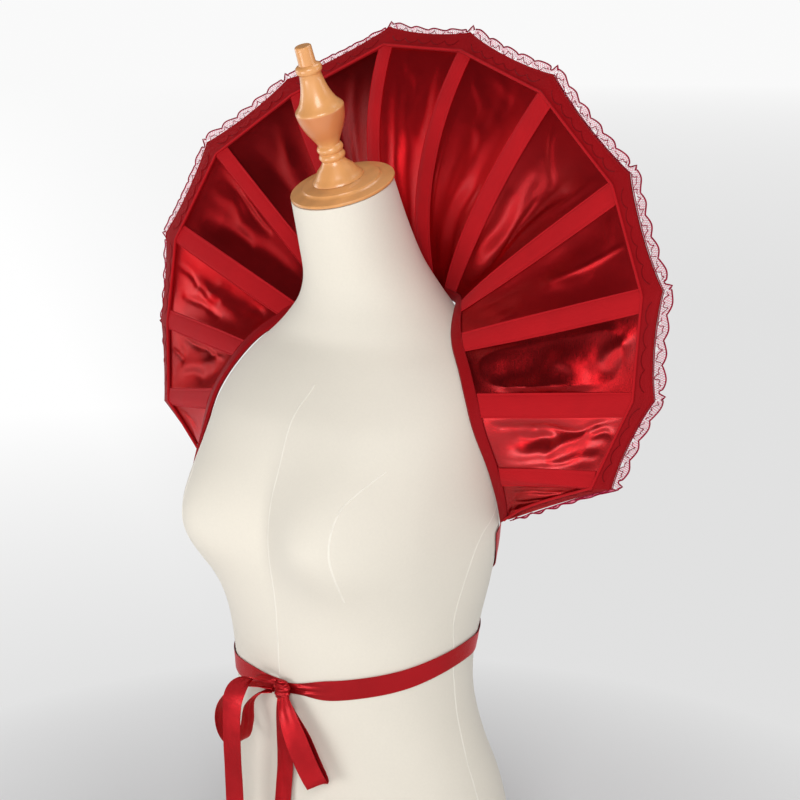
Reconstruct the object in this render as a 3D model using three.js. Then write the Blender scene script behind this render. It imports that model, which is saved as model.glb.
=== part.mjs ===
// A high stand collar on a limbless dress form.
// Millimetres. +Z is up, the form faces -Y and its left side is +X.
// The origin is the middle of the form's flat foot.
import * as THREE from 'three';

// ---------------------------------------------------------------- driving dimensions
const SEAM_GAP = 0.3;

// The dress form: sections from the foot to the neck. tilt leans a section forward, in degrees.
const FORM_SECTIONS = [
  { height: 0, halfWidth: 168, front: 96, back: 126, tilt: 0 },
  { height: 60, halfWidth: 169, front: 98, back: 129, tilt: 0 },
  { height: 120, halfWidth: 162, front: 95, back: 121, tilt: 0 },
  { height: 160, halfWidth: 153, front: 95, back: 114, tilt: 0 },
  { height: 200, halfWidth: 140, front: 96, back: 102, tilt: 0 },
  { height: 240, halfWidth: 128, front: 105, back: 100, tilt: 0 },
  { height: 280, halfWidth: 127, front: 110, back: 101, tilt: 0 },
  { height: 320, halfWidth: 133, front: 113, back: 108, tilt: 0 },
  { height: 360, halfWidth: 143, front: 115, back: 113, tilt: 0 },
  { height: 400, halfWidth: 152, front: 117, back: 114, tilt: 0 },
  { height: 440, halfWidth: 156, front: 115, back: 113, tilt: 0 },
  { height: 480, halfWidth: 156, front: 111, back: 112, tilt: 0 },
  { height: 520, halfWidth: 152, front: 104, back: 111, tilt: 0 },
  { height: 545, halfWidth: 144, front: 89, back: 110, tilt: 0 },
  { height: 570, halfWidth: 128, front: 69, back: 109, tilt: 0 },
  { height: 590, halfWidth: 107, front: 54, back: 107, tilt: 1 },
  { height: 610, halfWidth: 86, front: 48, back: 102, tilt: 3 },
  { height: 630, halfWidth: 69, front: 44, back: 90, tilt: 6 },
  { height: 655, halfWidth: 58, front: 44, back: 71, tilt: 11 },
  { height: 690, halfWidth: 52, front: 54, back: 52, tilt: 17 },
  { height: 730.8, halfWidth: 49, front: 65, back: 33, tilt: 21 },
];
const FORM_SIDES = 34;
const FORM_RINGS = 32;
const BUST = { height: 427, aside: 84, out: 50, across: 46, above: 48, below: 44, easeIn: 50 };

// The turned neck cap and finial lean with the top of the neck. The finial stands a little aside
// of the cap's middle.
const NECK_CAP = { x: 0, y: -16, z: 735, tilt: 21 };
const FINIAL_ASIDE = -3;
const CAP_PROFILE = [
  { radius: 48.5, height: -3.6 },
  { radius: 50, height: -2.7 },
  { radius: 50, height: -1 },
  { radius: 48.5, height: 0 },
  { radius: 40, height: 1.2 },
  { radius: 37, height: 3.4 },
  { radius: 28, height: 5 },
];
const FINIAL_PROFILE = [
  { radius: 24.7, height: 5.3 },
  { radius: 22.8, height: 8.3 },
  { radius: 19.9, height: 11.6 },
  { radius: 17.6, height: 15.4 },
  { radius: 12.8, height: 20.1 },
  { radius: 10.4, height: 24.4 },
  { radius: 12.3, height: 26.8 },
  { radius: 12.3, height: 29.6 },
  { radius: 10.4, height: 31.9 },
  { radius: 12.3, height: 34.3 },
  { radius: 12.3, height: 37.1 },
  { radius: 10.3, height: 39.5 },
  { radius: 12.3, height: 44.7 },
  { radius: 17.1, height: 53.2 },
  { radius: 20.9, height: 62.7 },
  { radius: 22.6, height: 71.2 },
  { radius: 22.8, height: 74.9 },
  { radius: 20.4, height: 77.8 },
  { radius: 15.2, height: 86.3 },
  { radius: 11.9, height: 96.7 },
  { radius: 10, height: 108 },
  { radius: 12, height: 110.4 },
  { radius: 12, height: 115.1 },
  { radius: 8.2, height: 117.5 },
  { radius: 7.8, height: 133.5 },
  { radius: 6.8, height: 134.5 },
];
const TURNED_SIDES = 18;

// The ribs of the collar, from its left lower end round to its right one. The bones lie on all
// but the first and last. turn and height place the root on the form: turn is 0 straight
// behind and 90 at the left side. bow is how far the middle of a bone stands forward, and
// tape is the width of its casing tape, which lies aside of the bone at the rim.
const RIBS = [
  { name: 'left_end', turn: 70, height: 424, tipX: 160, tipY: 36, tipZ: 429, bow: 0, tape: 23, aside: 0 },
  { name: 'left_1', turn: 85.5, height: 475, tipX: 285, tipY: 15, tipZ: 484, bow: 0, tape: 21, aside: 6 },
  { name: 'left_2', turn: 100, height: 541, tipX: 312, tipY: 37, tipZ: 563, bow: 0, tape: 23, aside: -4 },
  { name: 'left_3', turn: 98, height: 588, tipX: 311, tipY: 47, tipZ: 657, bow: 0, tape: 22, aside: -4 },
  { name: 'left_4', turn: 72, height: 611, tipX: 263, tipY: 65, tipZ: 753, bow: 2, tape: 22, aside: -6 },
  { name: 'left_5', turn: 31, height: 613, tipX: 165, tipY: 87, tipZ: 835, bow: 20, tape: 21, aside: -8 },
  { name: 'left_6', turn: 9, height: 613, tipX: 50, tipY: 114, tipZ: 871, bow: 42, tape: 18, aside: -6.5 },
  { name: 'right_6', turn: -9, height: 613, tipX: -50, tipY: 114, tipZ: 876, bow: 42, tape: 17, aside: -1.5 },
  { name: 'right_5', turn: -28, height: 613, tipX: -165, tipY: 87, tipZ: 824, bow: 16, tape: 16, aside: -6 },
  { name: 'right_4', turn: -66, height: 612, tipX: -263, tipY: 65, tipZ: 757, bow: 0, tape: 18, aside: -7 },
  { name: 'right_3', turn: -90, height: 592, tipX: -311, tipY: 47, tipZ: 659, bow: 0, tape: 22, aside: -8 },
  { name: 'right_2', turn: -117, height: 561, tipX: -311, tipY: 37, tipZ: 566, bow: 0, tape: 21, aside: -2.5 },
  { name: 'right_1', turn: -120, height: 514, tipX: -285, tipY: 15, tipZ: 483, bow: 0, tape: 20, aside: -4 },
  { name: 'right_end', turn: -119, height: 397, tipX: -164, tipY: 6, tipZ: 391, bow: 0, tape: 23, aside: 0 },
];
const INNER_EDGE_CLEAR = 3.4;

// Cloth.
const SATIN = 1.2;
const TRIM = 1.2;
const RIM_BAND_WIDTH = 20;
const BINDING_WIDTH = 10.5;
const BINDING_EASE = 0.2;
const RIM_SAG = 4.5;
const BILLOW = 4;
const GORE_CELLS = { across: 5, along: 6 };

// The main folds of the gores. gore counts from the left lower end. A fold runs from start to
// finish, both given as across (0 to 1 between the bones) and along (0 root, 1 rim).
const FOLDS = [
  { gore: 1, fromAcross: 0.5, fromAlong: 0.2, toAcross: 0.7, toAlong: 0.8, width: 0.18, depth: 4 },
  { gore: 2, fromAcross: 0.2, fromAlong: 0.1, toAcross: 0.62, toAlong: 0.85, width: 0.15, depth: 4 },
  { gore: 2, fromAcross: 0.7, fromAlong: 0.15, toAcross: 0.45, toAlong: 0.9, width: 0.15, depth: -3 },
  { gore: 3, fromAcross: 0.35, fromAlong: 0.1, toAcross: 0.3, toAlong: 0.85, width: 0.17, depth: -3 },
  { gore: 4, fromAcross: 0.5, fromAlong: 0.2, toAcross: 0.55, toAlong: 0.9, width: 0.15, depth: 3 },
  { gore: 5, fromAcross: 0.5, fromAlong: 0.15, toAcross: 0.35, toAlong: 0.85, width: 0.16, depth: -4 },
  { gore: 6, fromAcross: 0.6, fromAlong: 0.1, toAcross: 0.2, toAlong: 0.9, width: 0.17, depth: 4 },
  { gore: 7, fromAcross: 0.4, fromAlong: 0.15, toAcross: 0.75, toAlong: 0.92, width: 0.15, depth: 4 },
  { gore: 8, fromAcross: 0.5, fromAlong: 0.2, toAcross: 0.6, toAlong: 0.85, width: 0.15, depth: -3 },
  { gore: 9, fromAcross: 0.5, fromAlong: 0.2, toAcross: 0.3, toAlong: 0.8, width: 0.17, depth: 4 },
  { gore: 10, fromAcross: 0.3, fromAlong: 0.2, toAcross: 0.7, toAlong: 0.85, width: 0.15, depth: -4 },
  { gore: 11, fromAcross: 0.5, fromAlong: 0.15, toAcross: 0.4, toAlong: 0.85, width: 0.17, depth: 4 },
  { gore: 12, fromAcross: 0.4, fromAlong: 0.2, toAcross: 0.6, toAlong: 0.8, width: 0.15, depth: 4 },
  { gore: 13, fromAcross: 0.45, fromAlong: 0.2, toAcross: 0.3, toAlong: 0.8, width: 0.17, depth: 4 },
];

// The lace: scallops beyond the rim, with openings next to the cloth and a point at each bone.
const LACE = {
  thickness: 1,
  tuckedIn: 5,
  pitch: 21.5,
  bar: 1.6,
  leastOpening: 4.4,
  pointReach: 10,
  pointWidth: 9,
  ripple: 1.4,
};
// One scallop: way is how far along it, swell how much of its full reach is had there, and an
// opening runs on from a station that opens.
const SCALLOP = [
  { way: 0, swell: 0, opens: false },
  { way: 0.17, swell: 0.62, opens: true },
  { way: 0.5, swell: 1, opens: true },
  { way: 0.83, swell: 0.62, opens: false },
];
const LACE_REACH = [
  { gore: 1, valley: 6.4, crest: 8.5, behind: 1 },
  { gore: 2, valley: 7, crest: 10, behind: 0.7 },
  { gore: 3, valley: 7.4, crest: 10.8, behind: 0.7 },
  { gore: 4, valley: 6.5, crest: 9.2, behind: 0.7 },
  { gore: 5, valley: 6.4, crest: 9, behind: 0.7 },
  { gore: 6, valley: 6.5, crest: 9, behind: 0.7 },
  { gore: 7, valley: 6.4, crest: 8, behind: 0.7 },
  { gore: 8, valley: 6.5, crest: 9, behind: 0.7 },
  { gore: 9, valley: 6.8, crest: 10.5, behind: 0.7 },
  { gore: 10, valley: 6.8, crest: 10.5, behind: 0.7 },
  { gore: 11, valley: 6.5, crest: 9.5, behind: 0.7 },
  { gore: 12, valley: 6.4, crest: 9, behind: 0.7 },
  { gore: 13, valley: 6.4, crest: 8.5, behind: 2 },
];

// The ties: satin ribbon laid on the form from each lower end of the collar, crossed at the
// back and brought round the waist to the knot. lift raises one tie over the other.
const RIBBON_WIDTH = 20;
const RIBBON = 1;
const TIE_CLEAR = 0.9;
const TIE_ROUTES = {
  left: [
    { turn: 68.5, height: 408, lift: 0 },
    { turn: 62, height: 388, lift: 0 },
    { turn: 48, height: 370, lift: 0 },
    { turn: 25, height: 352, lift: 0 },
    { turn: 0, height: 336, lift: 0 },
    { turn: -25, height: 318, lift: 0 },
    { turn: -50, height: 300, lift: 0 },
    { turn: -75, height: 282, lift: 0 },
    { turn: -100, height: 268, lift: 0 },
    { turn: -120, height: 263, lift: 0 },
    { turn: -139, height: 263, lift: 0 },
    { turn: -157, height: 266, lift: 0 },
    { turn: -181.8, height: 267, lift: 0 },
  ],
  right: [
    { turn: -100, height: 378, lift: 0 },
    { turn: -84, height: 371, lift: 0 },
    { turn: -68, height: 365, lift: 0.4 },
    { turn: -45, height: 354, lift: 1.5 },
    { turn: -20, height: 336, lift: 1.7 },
    { turn: 0, height: 323, lift: 1.7 },
    { turn: 20, height: 311, lift: 1.7 },
    { turn: 40, height: 304, lift: 0.9 },
    { turn: 62, height: 299, lift: 0 },
    { turn: 82, height: 300, lift: 0 },
    { turn: 100, height: 295, lift: 0 },
    { turn: 120, height: 286, lift: 0 },
    { turn: 138, height: 279, lift: 0 },
    { turn: 155, height: 273, lift: 0 },
    { turn: 175.4, height: 268, lift: 0 },
  ],
};

// The bow. Each row is a point of a ribbon's middle line. widthTurn is the way its width lies,
// in degrees: 0 is from side to side and 90 from back to front.
const KNOT = { x: 9, y: -115.7, z: 267, halfWidth: 9, halfDepth: 4.6, halfHeight: 10 };
const BOW = {
  bow_loop_right: [
    { x: -0.2, y: -116.5, z: 268, width: 9, widthTurn: 90 },
    { x: -18, y: -120, z: 267, width: 13, widthTurn: 90 },
    { x: -40, y: -122, z: 261, width: 18, widthTurn: 90 },
    { x: -57, y: -123, z: 246, width: 19.5, widthTurn: 90 },
    { x: -65, y: -123, z: 228, width: 19.5, widthTurn: 90 },
    { x: -62, y: -123, z: 211, width: 19.5, widthTurn: 90 },
    { x: -51, y: -123, z: 203, width: 19.5, widthTurn: 90 },
    { x: -38, y: -122, z: 209, width: 19, widthTurn: 90 },
    { x: -27, y: -121, z: 227, width: 16, widthTurn: 90 },
    { x: -14, y: -119, z: 247, width: 12, widthTurn: 90 },
    { x: -2, y: -117, z: 260, width: 8, widthTurn: 90 },
  ],
  bow_loop_left: [
    { x: 13.6, y: -120.2, z: 262.3, width: 12, widthTurn: 0 },
    { x: 22, y: -122, z: 248, width: 17, widthTurn: 0 },
    { x: 31, y: -118, z: 225, width: 21.5, widthTurn: 0 },
    { x: 40.5, y: -110, z: 196, width: 22, widthTurn: 0 },
    { x: 47, y: -105, z: 181, width: 21, widthTurn: 0 },
    { x: 47.5, y: -102, z: 179, width: 21, widthTurn: 0 },
    { x: 47, y: -100.5, z: 183, width: 21, widthTurn: 0 },
    { x: 43, y: -105, z: 200, width: 22, widthTurn: 0 },
    { x: 36, y: -111, z: 224, width: 21, widthTurn: 0 },
    { x: 24, y: -115.5, z: 244, width: 16, widthTurn: 0 },
    { x: 15.5, y: -117, z: 254.5, width: 11, widthTurn: 0 },
  ],
  bow_tail_right: [
    { x: 1.9, y: -117, z: 274.9, width: 8, widthTurn: 90 },
    { x: -12, y: -127, z: 278, width: 13, widthTurn: 75 },
    { x: -24, y: -136, z: 272, width: 17, widthTurn: 50 },
    { x: -32, y: -139, z: 258, width: 19.5, widthTurn: 25 },
    { x: -35, y: -139.5, z: 240, width: 20, widthTurn: 12 },
    { x: -37, y: -138, z: 210, width: 20, widthTurn: 10 },
    { x: -39, y: -135, z: 180, width: 20, widthTurn: 10 },
    { x: -41, y: -132, z: 150, width: 20, widthTurn: 12 },
    { x: -42, y: -130, z: 112, width: 20, widthTurn: 14 },
  ],
  bow_tail_left: [
    { x: 9, y: -115, z: 256.7, width: 12, widthTurn: 0 },
    { x: 6, y: -112, z: 242, width: 16, widthTurn: 0 },
    { x: 2, y: -106.5, z: 222, width: 19.5, widthTurn: 0 },
    { x: -2, y: -101.5, z: 198, width: 20, widthTurn: 0 },
    { x: -5, y: -99.5, z: 170, width: 20, widthTurn: 0 },
    { x: -8, y: -100, z: 140, width: 20, widthTurn: 0 },
    { x: -10, y: -101.5, z: 106, width: 20, widthTurn: 0 },
  ],
};

// ---------------------------------------------------------------- small helpers
const radians = THREE.MathUtils.degToRad;
const { clamp, lerp, smoothstep } = THREE.MathUtils;

// A smooth value of one named column at a place between the rows of a table.
function smoothColumn(rows, key, place, column) {
  const found = rows.findIndex((row) => row[key] > place);
  const i = found < 0 ? rows.length - 1 : Math.max(found, 1);
  const at = (k) => rows[clamp(k, 0, rows.length - 1)];
  const [a, b, c, d] = [at(i - 2), at(i - 1), at(i), at(i + 1)];
  const span = c[key] - b[key];
  const t = clamp((place - b[key]) / span, 0, 1);
  const slope = (p, q) => (q[column] - p[column]) / (q[key] - p[key]);
  const m0 = slope(a, c) * span;
  const m1 = slope(b, d) * span;
  const t2 = t * t;
  const t3 = t2 * t;
  return (2 * t3 - 3 * t2 + 1) * b[column] + (t3 - 2 * t2 + t) * m0
    + (3 * t2 - 2 * t3) * c[column] + (t3 - t2) * m1;
}

// ---------------------------------------------------------------- closed meshes
function closedGeometry(points, faces) {
  const positions = new Float32Array(points.length * 3);
  points.forEach((p, i) => p.toArray(positions, i * 3));
  let volume = 0;
  for (const [a, b, c] of faces) {
    volume += points[a].dot(new THREE.Vector3().crossVectors(points[b], points[c]));
  }
  const outward = volume > 0 ? faces : faces.map(([a, b, c]) => [a, c, b]);
  const geometry = new THREE.BufferGeometry();
  geometry.setAttribute('position', new THREE.BufferAttribute(positions, 3));
  geometry.setIndex(outward.flat());
  return geometry;
}

// A closed wall over a grid. at(row, column, side) gives its points, side 0 and side 1. Cells
// of the columns from crossedFrom on are split along their other diagonal, and a cell that
// isOpen names is left out.
function wall(rows, columns, at, { crossedFrom = columns, isOpen = () => false } = {}) {
  const points = [];
  const faces = [];
  const id = (i, j, side) => (side * (rows + 1) + i) * (columns + 1) + j;
  for (const side of [0, 1]) {
    for (let i = 0; i <= rows; i += 1) {
      for (let j = 0; j <= columns; j += 1) points.push(at(i, j, side));
    }
  }
  const isCell = (i, j) => i >= 0 && i < rows && j >= 0 && j < columns && !isOpen(i, j);
  for (let i = 0; i < rows; i += 1) {
    for (let j = 0; j < columns; j += 1) {
      if (!isCell(i, j)) continue;
      const corners = [[i, j], [i, j + 1], [i + 1, j + 1], [i + 1, j]];
      const beyond = [[i - 1, j], [i, j + 1], [i + 1, j], [i, j - 1]];
      const shift = j < crossedFrom ? 0 : 1;
      const [a, b, c, d] = [0, 1, 2, 3].map((k) => corners[(k + shift) % 4]);
      faces.push([id(...a, 1), id(...b, 1), id(...c, 1)], [id(...a, 1), id(...c, 1), id(...d, 1)]);
      faces.push([id(...a, 0), id(...c, 0), id(...b, 0)], [id(...a, 0), id(...d, 0), id(...c, 0)]);
      corners.forEach((from, k) => {
        if (isCell(...beyond[k])) return;
        const to = corners[(k + 1) % 4];
        const low = id(...from, 0);
        faces.push([id(...to, 1), id(...from, 1), low], [id(...to, 1), low, id(...to, 0)]);
      });
    }
  }
  return closedGeometry(points, faces);
}

// A closed body from rings of equal count, with a flat fan at each end.
function ringBody(rings) {
  const sides = rings[0].length;
  const points = rings.flat();
  const faces = [];
  for (let r = 0; r + 1 < rings.length; r += 1) {
    for (let s = 0; s < sides; s += 1) {
      const a = r * sides + s;
      const b = r * sides + ((s + 1) % sides);
      faces.push([a, b, b + sides], [a, b + sides, a + sides]);
    }
  }
  const ends = [[0, true], [(rings.length - 1) * sides, false]];
  for (const [start, turned] of ends) {
    const middle = new THREE.Vector3();
    for (let s = 0; s < sides; s += 1) middle.addScaledVector(points[start + s], 1 / sides);
    const centre = points.push(middle) - 1;
    for (let s = 0; s < sides; s += 1) {
      const a = start + s;
      const b = start + ((s + 1) % sides);
      faces.push(turned ? [centre, b, a] : [centre, a, b]);
    }
  }
  return closedGeometry(points, faces);
}

// ---------------------------------------------------------------- the dress form
function formPoint(turn, height) {
  const column = (name) => smoothColumn(FORM_SECTIONS, 'height', height, name);
  const halfWidth = column('halfWidth');
  const middle = (column('back') - column('front')) / 2;
  const halfDepth = (column('back') + column('front')) / 2;
  const tilt = radians(column('tilt'));
  const angle = radians(turn);
  const x = halfWidth * Math.sin(angle);
  let depth = halfDepth * Math.cos(angle);
  if (depth < 0) {
    const across = (Math.abs(x) - BUST.aside) / BUST.across;
    const up = (height - BUST.height) / (height > BUST.height ? BUST.above : BUST.below);
    const swell = BUST.out * Math.exp(-(across * across + up * up) / 2);
    depth -= swell * Math.min(1, -depth / BUST.easeIn);
  }
  return new THREE.Vector3(x, middle + depth * Math.cos(tilt), height + depth * Math.sin(tilt));
}

// The directions on the form at a place: along its turn, up its side, and out of it.
function formFrame(turn, height) {
  const step = 0.5;
  const round = formPoint(turn + step, height).sub(formPoint(turn - step, height)).divideScalar(2 * step);
  const up = formPoint(turn, height + step).sub(formPoint(turn, height - step)).divideScalar(2 * step);
  const out = new THREE.Vector3().crossVectors(up, round).normalize();
  return { round, up, out };
}

function torsoGeometry() {
  const top = FORM_SECTIONS.at(-1).height;
  const rings = [];
  for (let k = 0; k <= FORM_RINGS; k += 1) {
    const ring = [];
    for (let s = 0; s < FORM_SIDES; s += 1) {
      ring.push(formPoint(180 - (s * 360) / FORM_SIDES, (top * k) / FORM_RINGS));
    }
    rings.push(ring);
  }
  return ringBody(rings);
}

function turnedGeometry(profile) {
  const rings = profile.map(({ radius, height }) => {
    const ring = [];
    for (let s = 0; s < TURNED_SIDES; s += 1) {
      const angle = (2 * Math.PI * s) / TURNED_SIDES;
      ring.push(new THREE.Vector3(radius * Math.cos(angle), radius * Math.sin(angle), height));
    }
    return ring;
  });
  return ringBody(rings);
}

// ---------------------------------------------------------------- the collar's surface
const LAST_RIB = RIBS.length - 1;
const INNER_ROWS = RIBS.map((rib, place) => ({ place, turn: rib.turn, height: rib.height }));

// A point of the collar's inner edge: place 0 is the first rib, 1 the second, and so on.
function innerPoint(place) {
  const turn = smoothColumn(INNER_ROWS, 'place', place, 'turn');
  const height = smoothColumn(INNER_ROWS, 'place', place, 'height');
  const { out } = formFrame(turn, height);
  return formPoint(turn, height).addScaledVector(out, INNER_EDGE_CLEAR);
}

const BONES = RIBS.map((rib, i) => {
  const root = innerPoint(i);
  const tip = new THREE.Vector3(rib.tipX, rib.tipY, rib.tipZ);
  const control = root.clone().lerp(tip, 0.5).add(new THREE.Vector3(0, -2 * rib.bow, 0));
  return new THREE.QuadraticBezierCurve3(root, control, tip);
});
const BONE_LENGTHS = BONES.map((bone) => bone.getLength());

// The collar's front-facing normal on a rib.
function boneNormal(i, along) {
  const before = BONES[Math.max(i - 1, 0)].getPoint(along);
  const after = BONES[Math.min(i + 1, LAST_RIB)].getPoint(along);
  return new THREE.Vector3().crossVectors(BONES[i].getTangent(along), after.sub(before)).normalize();
}

function goreNormal(gore, across, along) {
  return boneNormal(gore - 1, along).lerp(boneNormal(gore, along), across).normalize();
}

const goreWidth = (gore, along) => BONES[gore - 1].getPoint(along).distanceTo(BONES[gore].getPoint(along));
const goreLength = (gore, across) => lerp(BONE_LENGTHS[gore - 1], BONE_LENGTHS[gore], across);

const rimSag = (across) => RIM_SAG * Math.sin(Math.PI * clamp(across, 0, 1)) ** 0.7;
const endWidth = (full, length) => Math.min(full, 0.42 * length);
const rimBandWidth = (length) => endWidth(RIM_BAND_WIDTH, length);
const bindingWidth = (length) => endWidth(BINDING_WIDTH, length);

// Where the satin is free between the binding and the band, and between two tapes.
function freeAlong(gore, across) {
  const length = goreLength(gore, across);
  return [bindingWidth(length) / length, (length - rimBandWidth(length)) / (length - rimSag(across))];
}

function freeAcross(gore, along) {
  const under = (i, way) => RIBS[i].tape / 2 + way * RIBS[i].aside * along;
  const share = (reach) => Math.min(reach / goreWidth(gore, along), 0.46);
  return [share(under(gore - 1, 1)), 1 - share(under(gore, -1))];
}

// How far the satin stands forward of the flat gore: it billows back and creases, but lies
// flat under what is laid on its edges.
function relief(gore, across, along) {
  const part = (value, [low, high]) => clamp((value - low) / (high - low), 0, 1);
  const upward = part(along, freeAlong(gore, across));
  const sideways = part(across, freeAcross(gore, along));
  const edge = Math.sin(Math.PI * sideways) * Math.min(1, 1.6 * Math.sin(Math.PI * upward));
  let out = -BILLOW * edge;
  for (const fold of FOLDS.filter((row) => row.gore === gore)) {
    const way = (along - fold.fromAlong) / (fold.toAlong - fold.fromAlong);
    const aside = (across - lerp(fold.fromAcross, fold.toAcross, way)) / fold.width;
    const ends = smoothstep(way, -0.15, 0.3) * (1 - smoothstep(way, 0.75, 1.1));
    out += fold.depth * Math.exp(-aside * aside) * ends * edge;
  }
  return out;
}

// A point of the collar, moved forward by offset from the middle of the satin. The rim is drawn
// in between two bones.
function collarPoint(gore, across, whole, offset) {
  const along = whole * (1 - rimSag(across) / goreLength(gore, across));
  const chord = BONES[gore - 1].getPoint(0).lerp(BONES[gore].getPoint(0), across);
  const sweep = innerPoint(gore - 1 + across).sub(chord);
  const point = BONES[gore - 1].getPoint(along).lerp(BONES[gore].getPoint(along), across);
  point.addScaledVector(sweep, (1 - along) * (1 - along));
  return point.addScaledVector(goreNormal(gore, across, along), relief(gore, across, whole) + offset);
}

const SKIN = SATIN / 2;
const LAID_ON = [SKIN + SEAM_GAP, SKIN + SEAM_GAP + TRIM];

// A gore has one cell under what is laid on each edge and even cells between.
const ROWS = GORE_CELLS.along + 2;
const COLUMNS = GORE_CELLS.across + 2;

function stop(k, last, [low, high]) {
  if (k === 0) return 0;
  return k === last ? 1 : lerp(low, high, (k - 1) / (last - 2));
}

function cornerOf(gore, i, j) {
  const nearly = stop(i, ROWS, freeAlong(gore, j / COLUMNS));
  const across = stop(j, COLUMNS, freeAcross(gore, nearly));
  return [across, stop(i, ROWS, freeAlong(gore, across))];
}

function goreGeometry(gore) {
  return wall(ROWS, COLUMNS, (i, j, side) => {
    const [across, along] = cornerOf(gore, i, j);
    const inset = SEAM_GAP / 2 / goreWidth(gore, along);
    return collarPoint(gore, clamp(across, inset, 1 - inset), along, side ? SKIN : -SKIN);
  });
}

// A casing tape over bone i, laid on the two gores that meet there.
function tapeGeometry(i) {
  return wall(GORE_CELLS.along, 2, (row, column, side) => {
    const gore = column === 0 ? i : i + 1;
    const near = (along) => {
      const [low, high] = freeAcross(gore, along);
      return [high, 0, low][column];
    };
    const [low, high] = freeAlong(gore, near(row / GORE_CELLS.along));
    const gap = SEAM_GAP / BONE_LENGTHS[i];
    const along = lerp(low + gap, high - gap, row / GORE_CELLS.along);
    return collarPoint(gore, near(along), along, LAID_ON[side]);
  });
}

// The corners of the gores along one of their rows, from the left lower end to the right one.
const EDGE_CELLS = LAST_RIB * COLUMNS;

function edgeCorner(i, row) {
  const gore = Math.min(Math.floor(i / COLUMNS), LAST_RIB - 1) + 1;
  return [gore, ...cornerOf(gore, row, i - (gore - 1) * COLUMNS)];
}

function rimBandGeometry() {
  return wall(EDGE_CELLS, 1, (i, j, side) => collarPoint(...edgeCorner(i, ROWS - 1 + j), LAID_ON[side]));
}

// The binding is folded round the inner edge: a front leg, the fold and a back leg.
function bindingGeometry() {
  return wall(EDGE_CELLS, 3, (i, j, side) => {
    const offset = (LAID_ON[side] + BINDING_EASE) * (j < 2 ? 1 : -1);
    if (j === 0 || j === 3) return collarPoint(...edgeCorner(EDGE_CELLS - i, 1), offset);
    const [gore, across] = edgeCorner(EDGE_CELLS - i, 0);
    const foot = collarPoint(gore, across, 0, 0);
    const inward = foot.clone().sub(collarPoint(gore, across, 0.05, 0)).normalize();
    foot.addScaledVector(inward, SEAM_GAP + BINDING_EASE + side * TRIM);
    return foot.addScaledVector(goreNormal(gore, across, 0), offset);
  }, { crossedFrom: 2 });
}

// ---------------------------------------------------------------- the lace
function laceGeometry(gore) {
  const { valley, crest, behind } = LACE_REACH[gore - 1];
  const from = BONES[gore - 1].getPoint(1);
  const to = BONES[gore].getPoint(1);
  const length = from.distanceTo(to);
  const start = SEAM_GAP / 2;
  const end = length - start;
  const count = Math.max(2, Math.round((length - LACE.pointWidth) / LACE.pitch));
  const pitch = (end - LACE.pointWidth) / count;
  const stations = [
    { x: start, reach: LACE.pointReach, opens: false },
    { x: LACE.pointWidth * 0.7, reach: lerp(valley, LACE.pointReach, 0.5), opens: false },
  ];
  for (let k = 0; k < count; k += 1) {
    SCALLOP.forEach(({ way, swell, opens }) => {
      stations.push({ x: LACE.pointWidth + (k + way) * pitch, reach: lerp(valley, crest, swell), opens });
    });
  }
  stations.push({ x: end, reach: valley, opens: false });
  const directions = [BONES[gore - 1].getTangent(1), BONES[gore].getTangent(1)];
  const at = (i, j, side) => {
    const { x, reach } = stations[i];
    const y = [-LACE.tuckedIn, LACE.bar, Math.max(LACE.bar + LACE.leastOpening, 0.62 * reach), reach][j];
    const across = x / length;
    const outward = directions[0].clone().lerp(directions[1], across).normalize();
    const wave = LACE.ripple * Math.sin((2 * Math.PI * x) / LACE.pitch) * Math.max(0, y / crest);
    const along = 1 + Math.min(y, 0) / goreLength(gore, across);
    const point = collarPoint(gore, across, along, wave - SKIN - behind - side * LACE.thickness);
    return point.addScaledVector(outward, Math.max(y, 0));
  };
  return wall(stations.length - 1, 3, at, { isOpen: (i, j) => j === 1 && stations[i].opens });
}

// ---------------------------------------------------------------- the ties and the bow
function tieGeometry(route) {
  const perRow = 3;
  const rows = (route.length - 1) * perRow;
  const table = route.map((row, place) => ({ ...row, place }));
  const column = (place, name) => smoothColumn(table, 'place', place, name);
  return wall(rows, 2, (i, j, side) => {
    const place = i / perRow;
    const turn = column(place, 'turn');
    const height = column(place, 'height');
    const { round, up, out } = formFrame(turn, height);
    const step = 0.02;
    const ahead = round.clone().multiplyScalar(column(place + step, 'turn') - column(place - step, 'turn'));
    ahead.addScaledVector(up, column(place + step, 'height') - column(place - step, 'height'));
    const toEdge = (j / 2 - 0.5) * RIBBON_WIDTH || 1e-9;
    const aside = new THREE.Vector3().crossVectors(out, ahead).setLength(toEdge);
    const there = [turn + aside.dot(round) / round.lengthSq(), height + aside.dot(up) / up.lengthSq()];
    const lifted = TIE_CLEAR + column(place, 'lift') + side * RIBBON;
    return formPoint(...there).addScaledVector(formFrame(...there).out, lifted);
  });
}

function ribbonGeometry(table) {
  const perRow = 3;
  const rows = (table.length - 1) * perRow;
  const points = table.map((row) => new THREE.Vector3(row.x, row.y, row.z));
  const line = new THREE.CatmullRomCurve3(points);
  const placed = table.map((row, place) => ({ ...row, place }));
  const column = (place, name) => smoothColumn(placed, 'place', place, name);
  return wall(rows, 1, (i, j, side) => {
    const place = i / perRow;
    const point = line.getPoint(i / rows);
    const ahead = line.getTangent(i / rows);
    const turn = radians(column(place, 'widthTurn'));
    const wide = new THREE.Vector3(Math.cos(turn), Math.sin(turn), 0);
    wide.addScaledVector(ahead, -wide.dot(ahead)).normalize();
    const face = new THREE.Vector3().crossVectors(wide, ahead).normalize();
    point.addScaledVector(wide, (j - 0.5) * column(place, 'width'));
    return point.addScaledVector(face, (side - 0.5) * RIBBON);
  });
}

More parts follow.
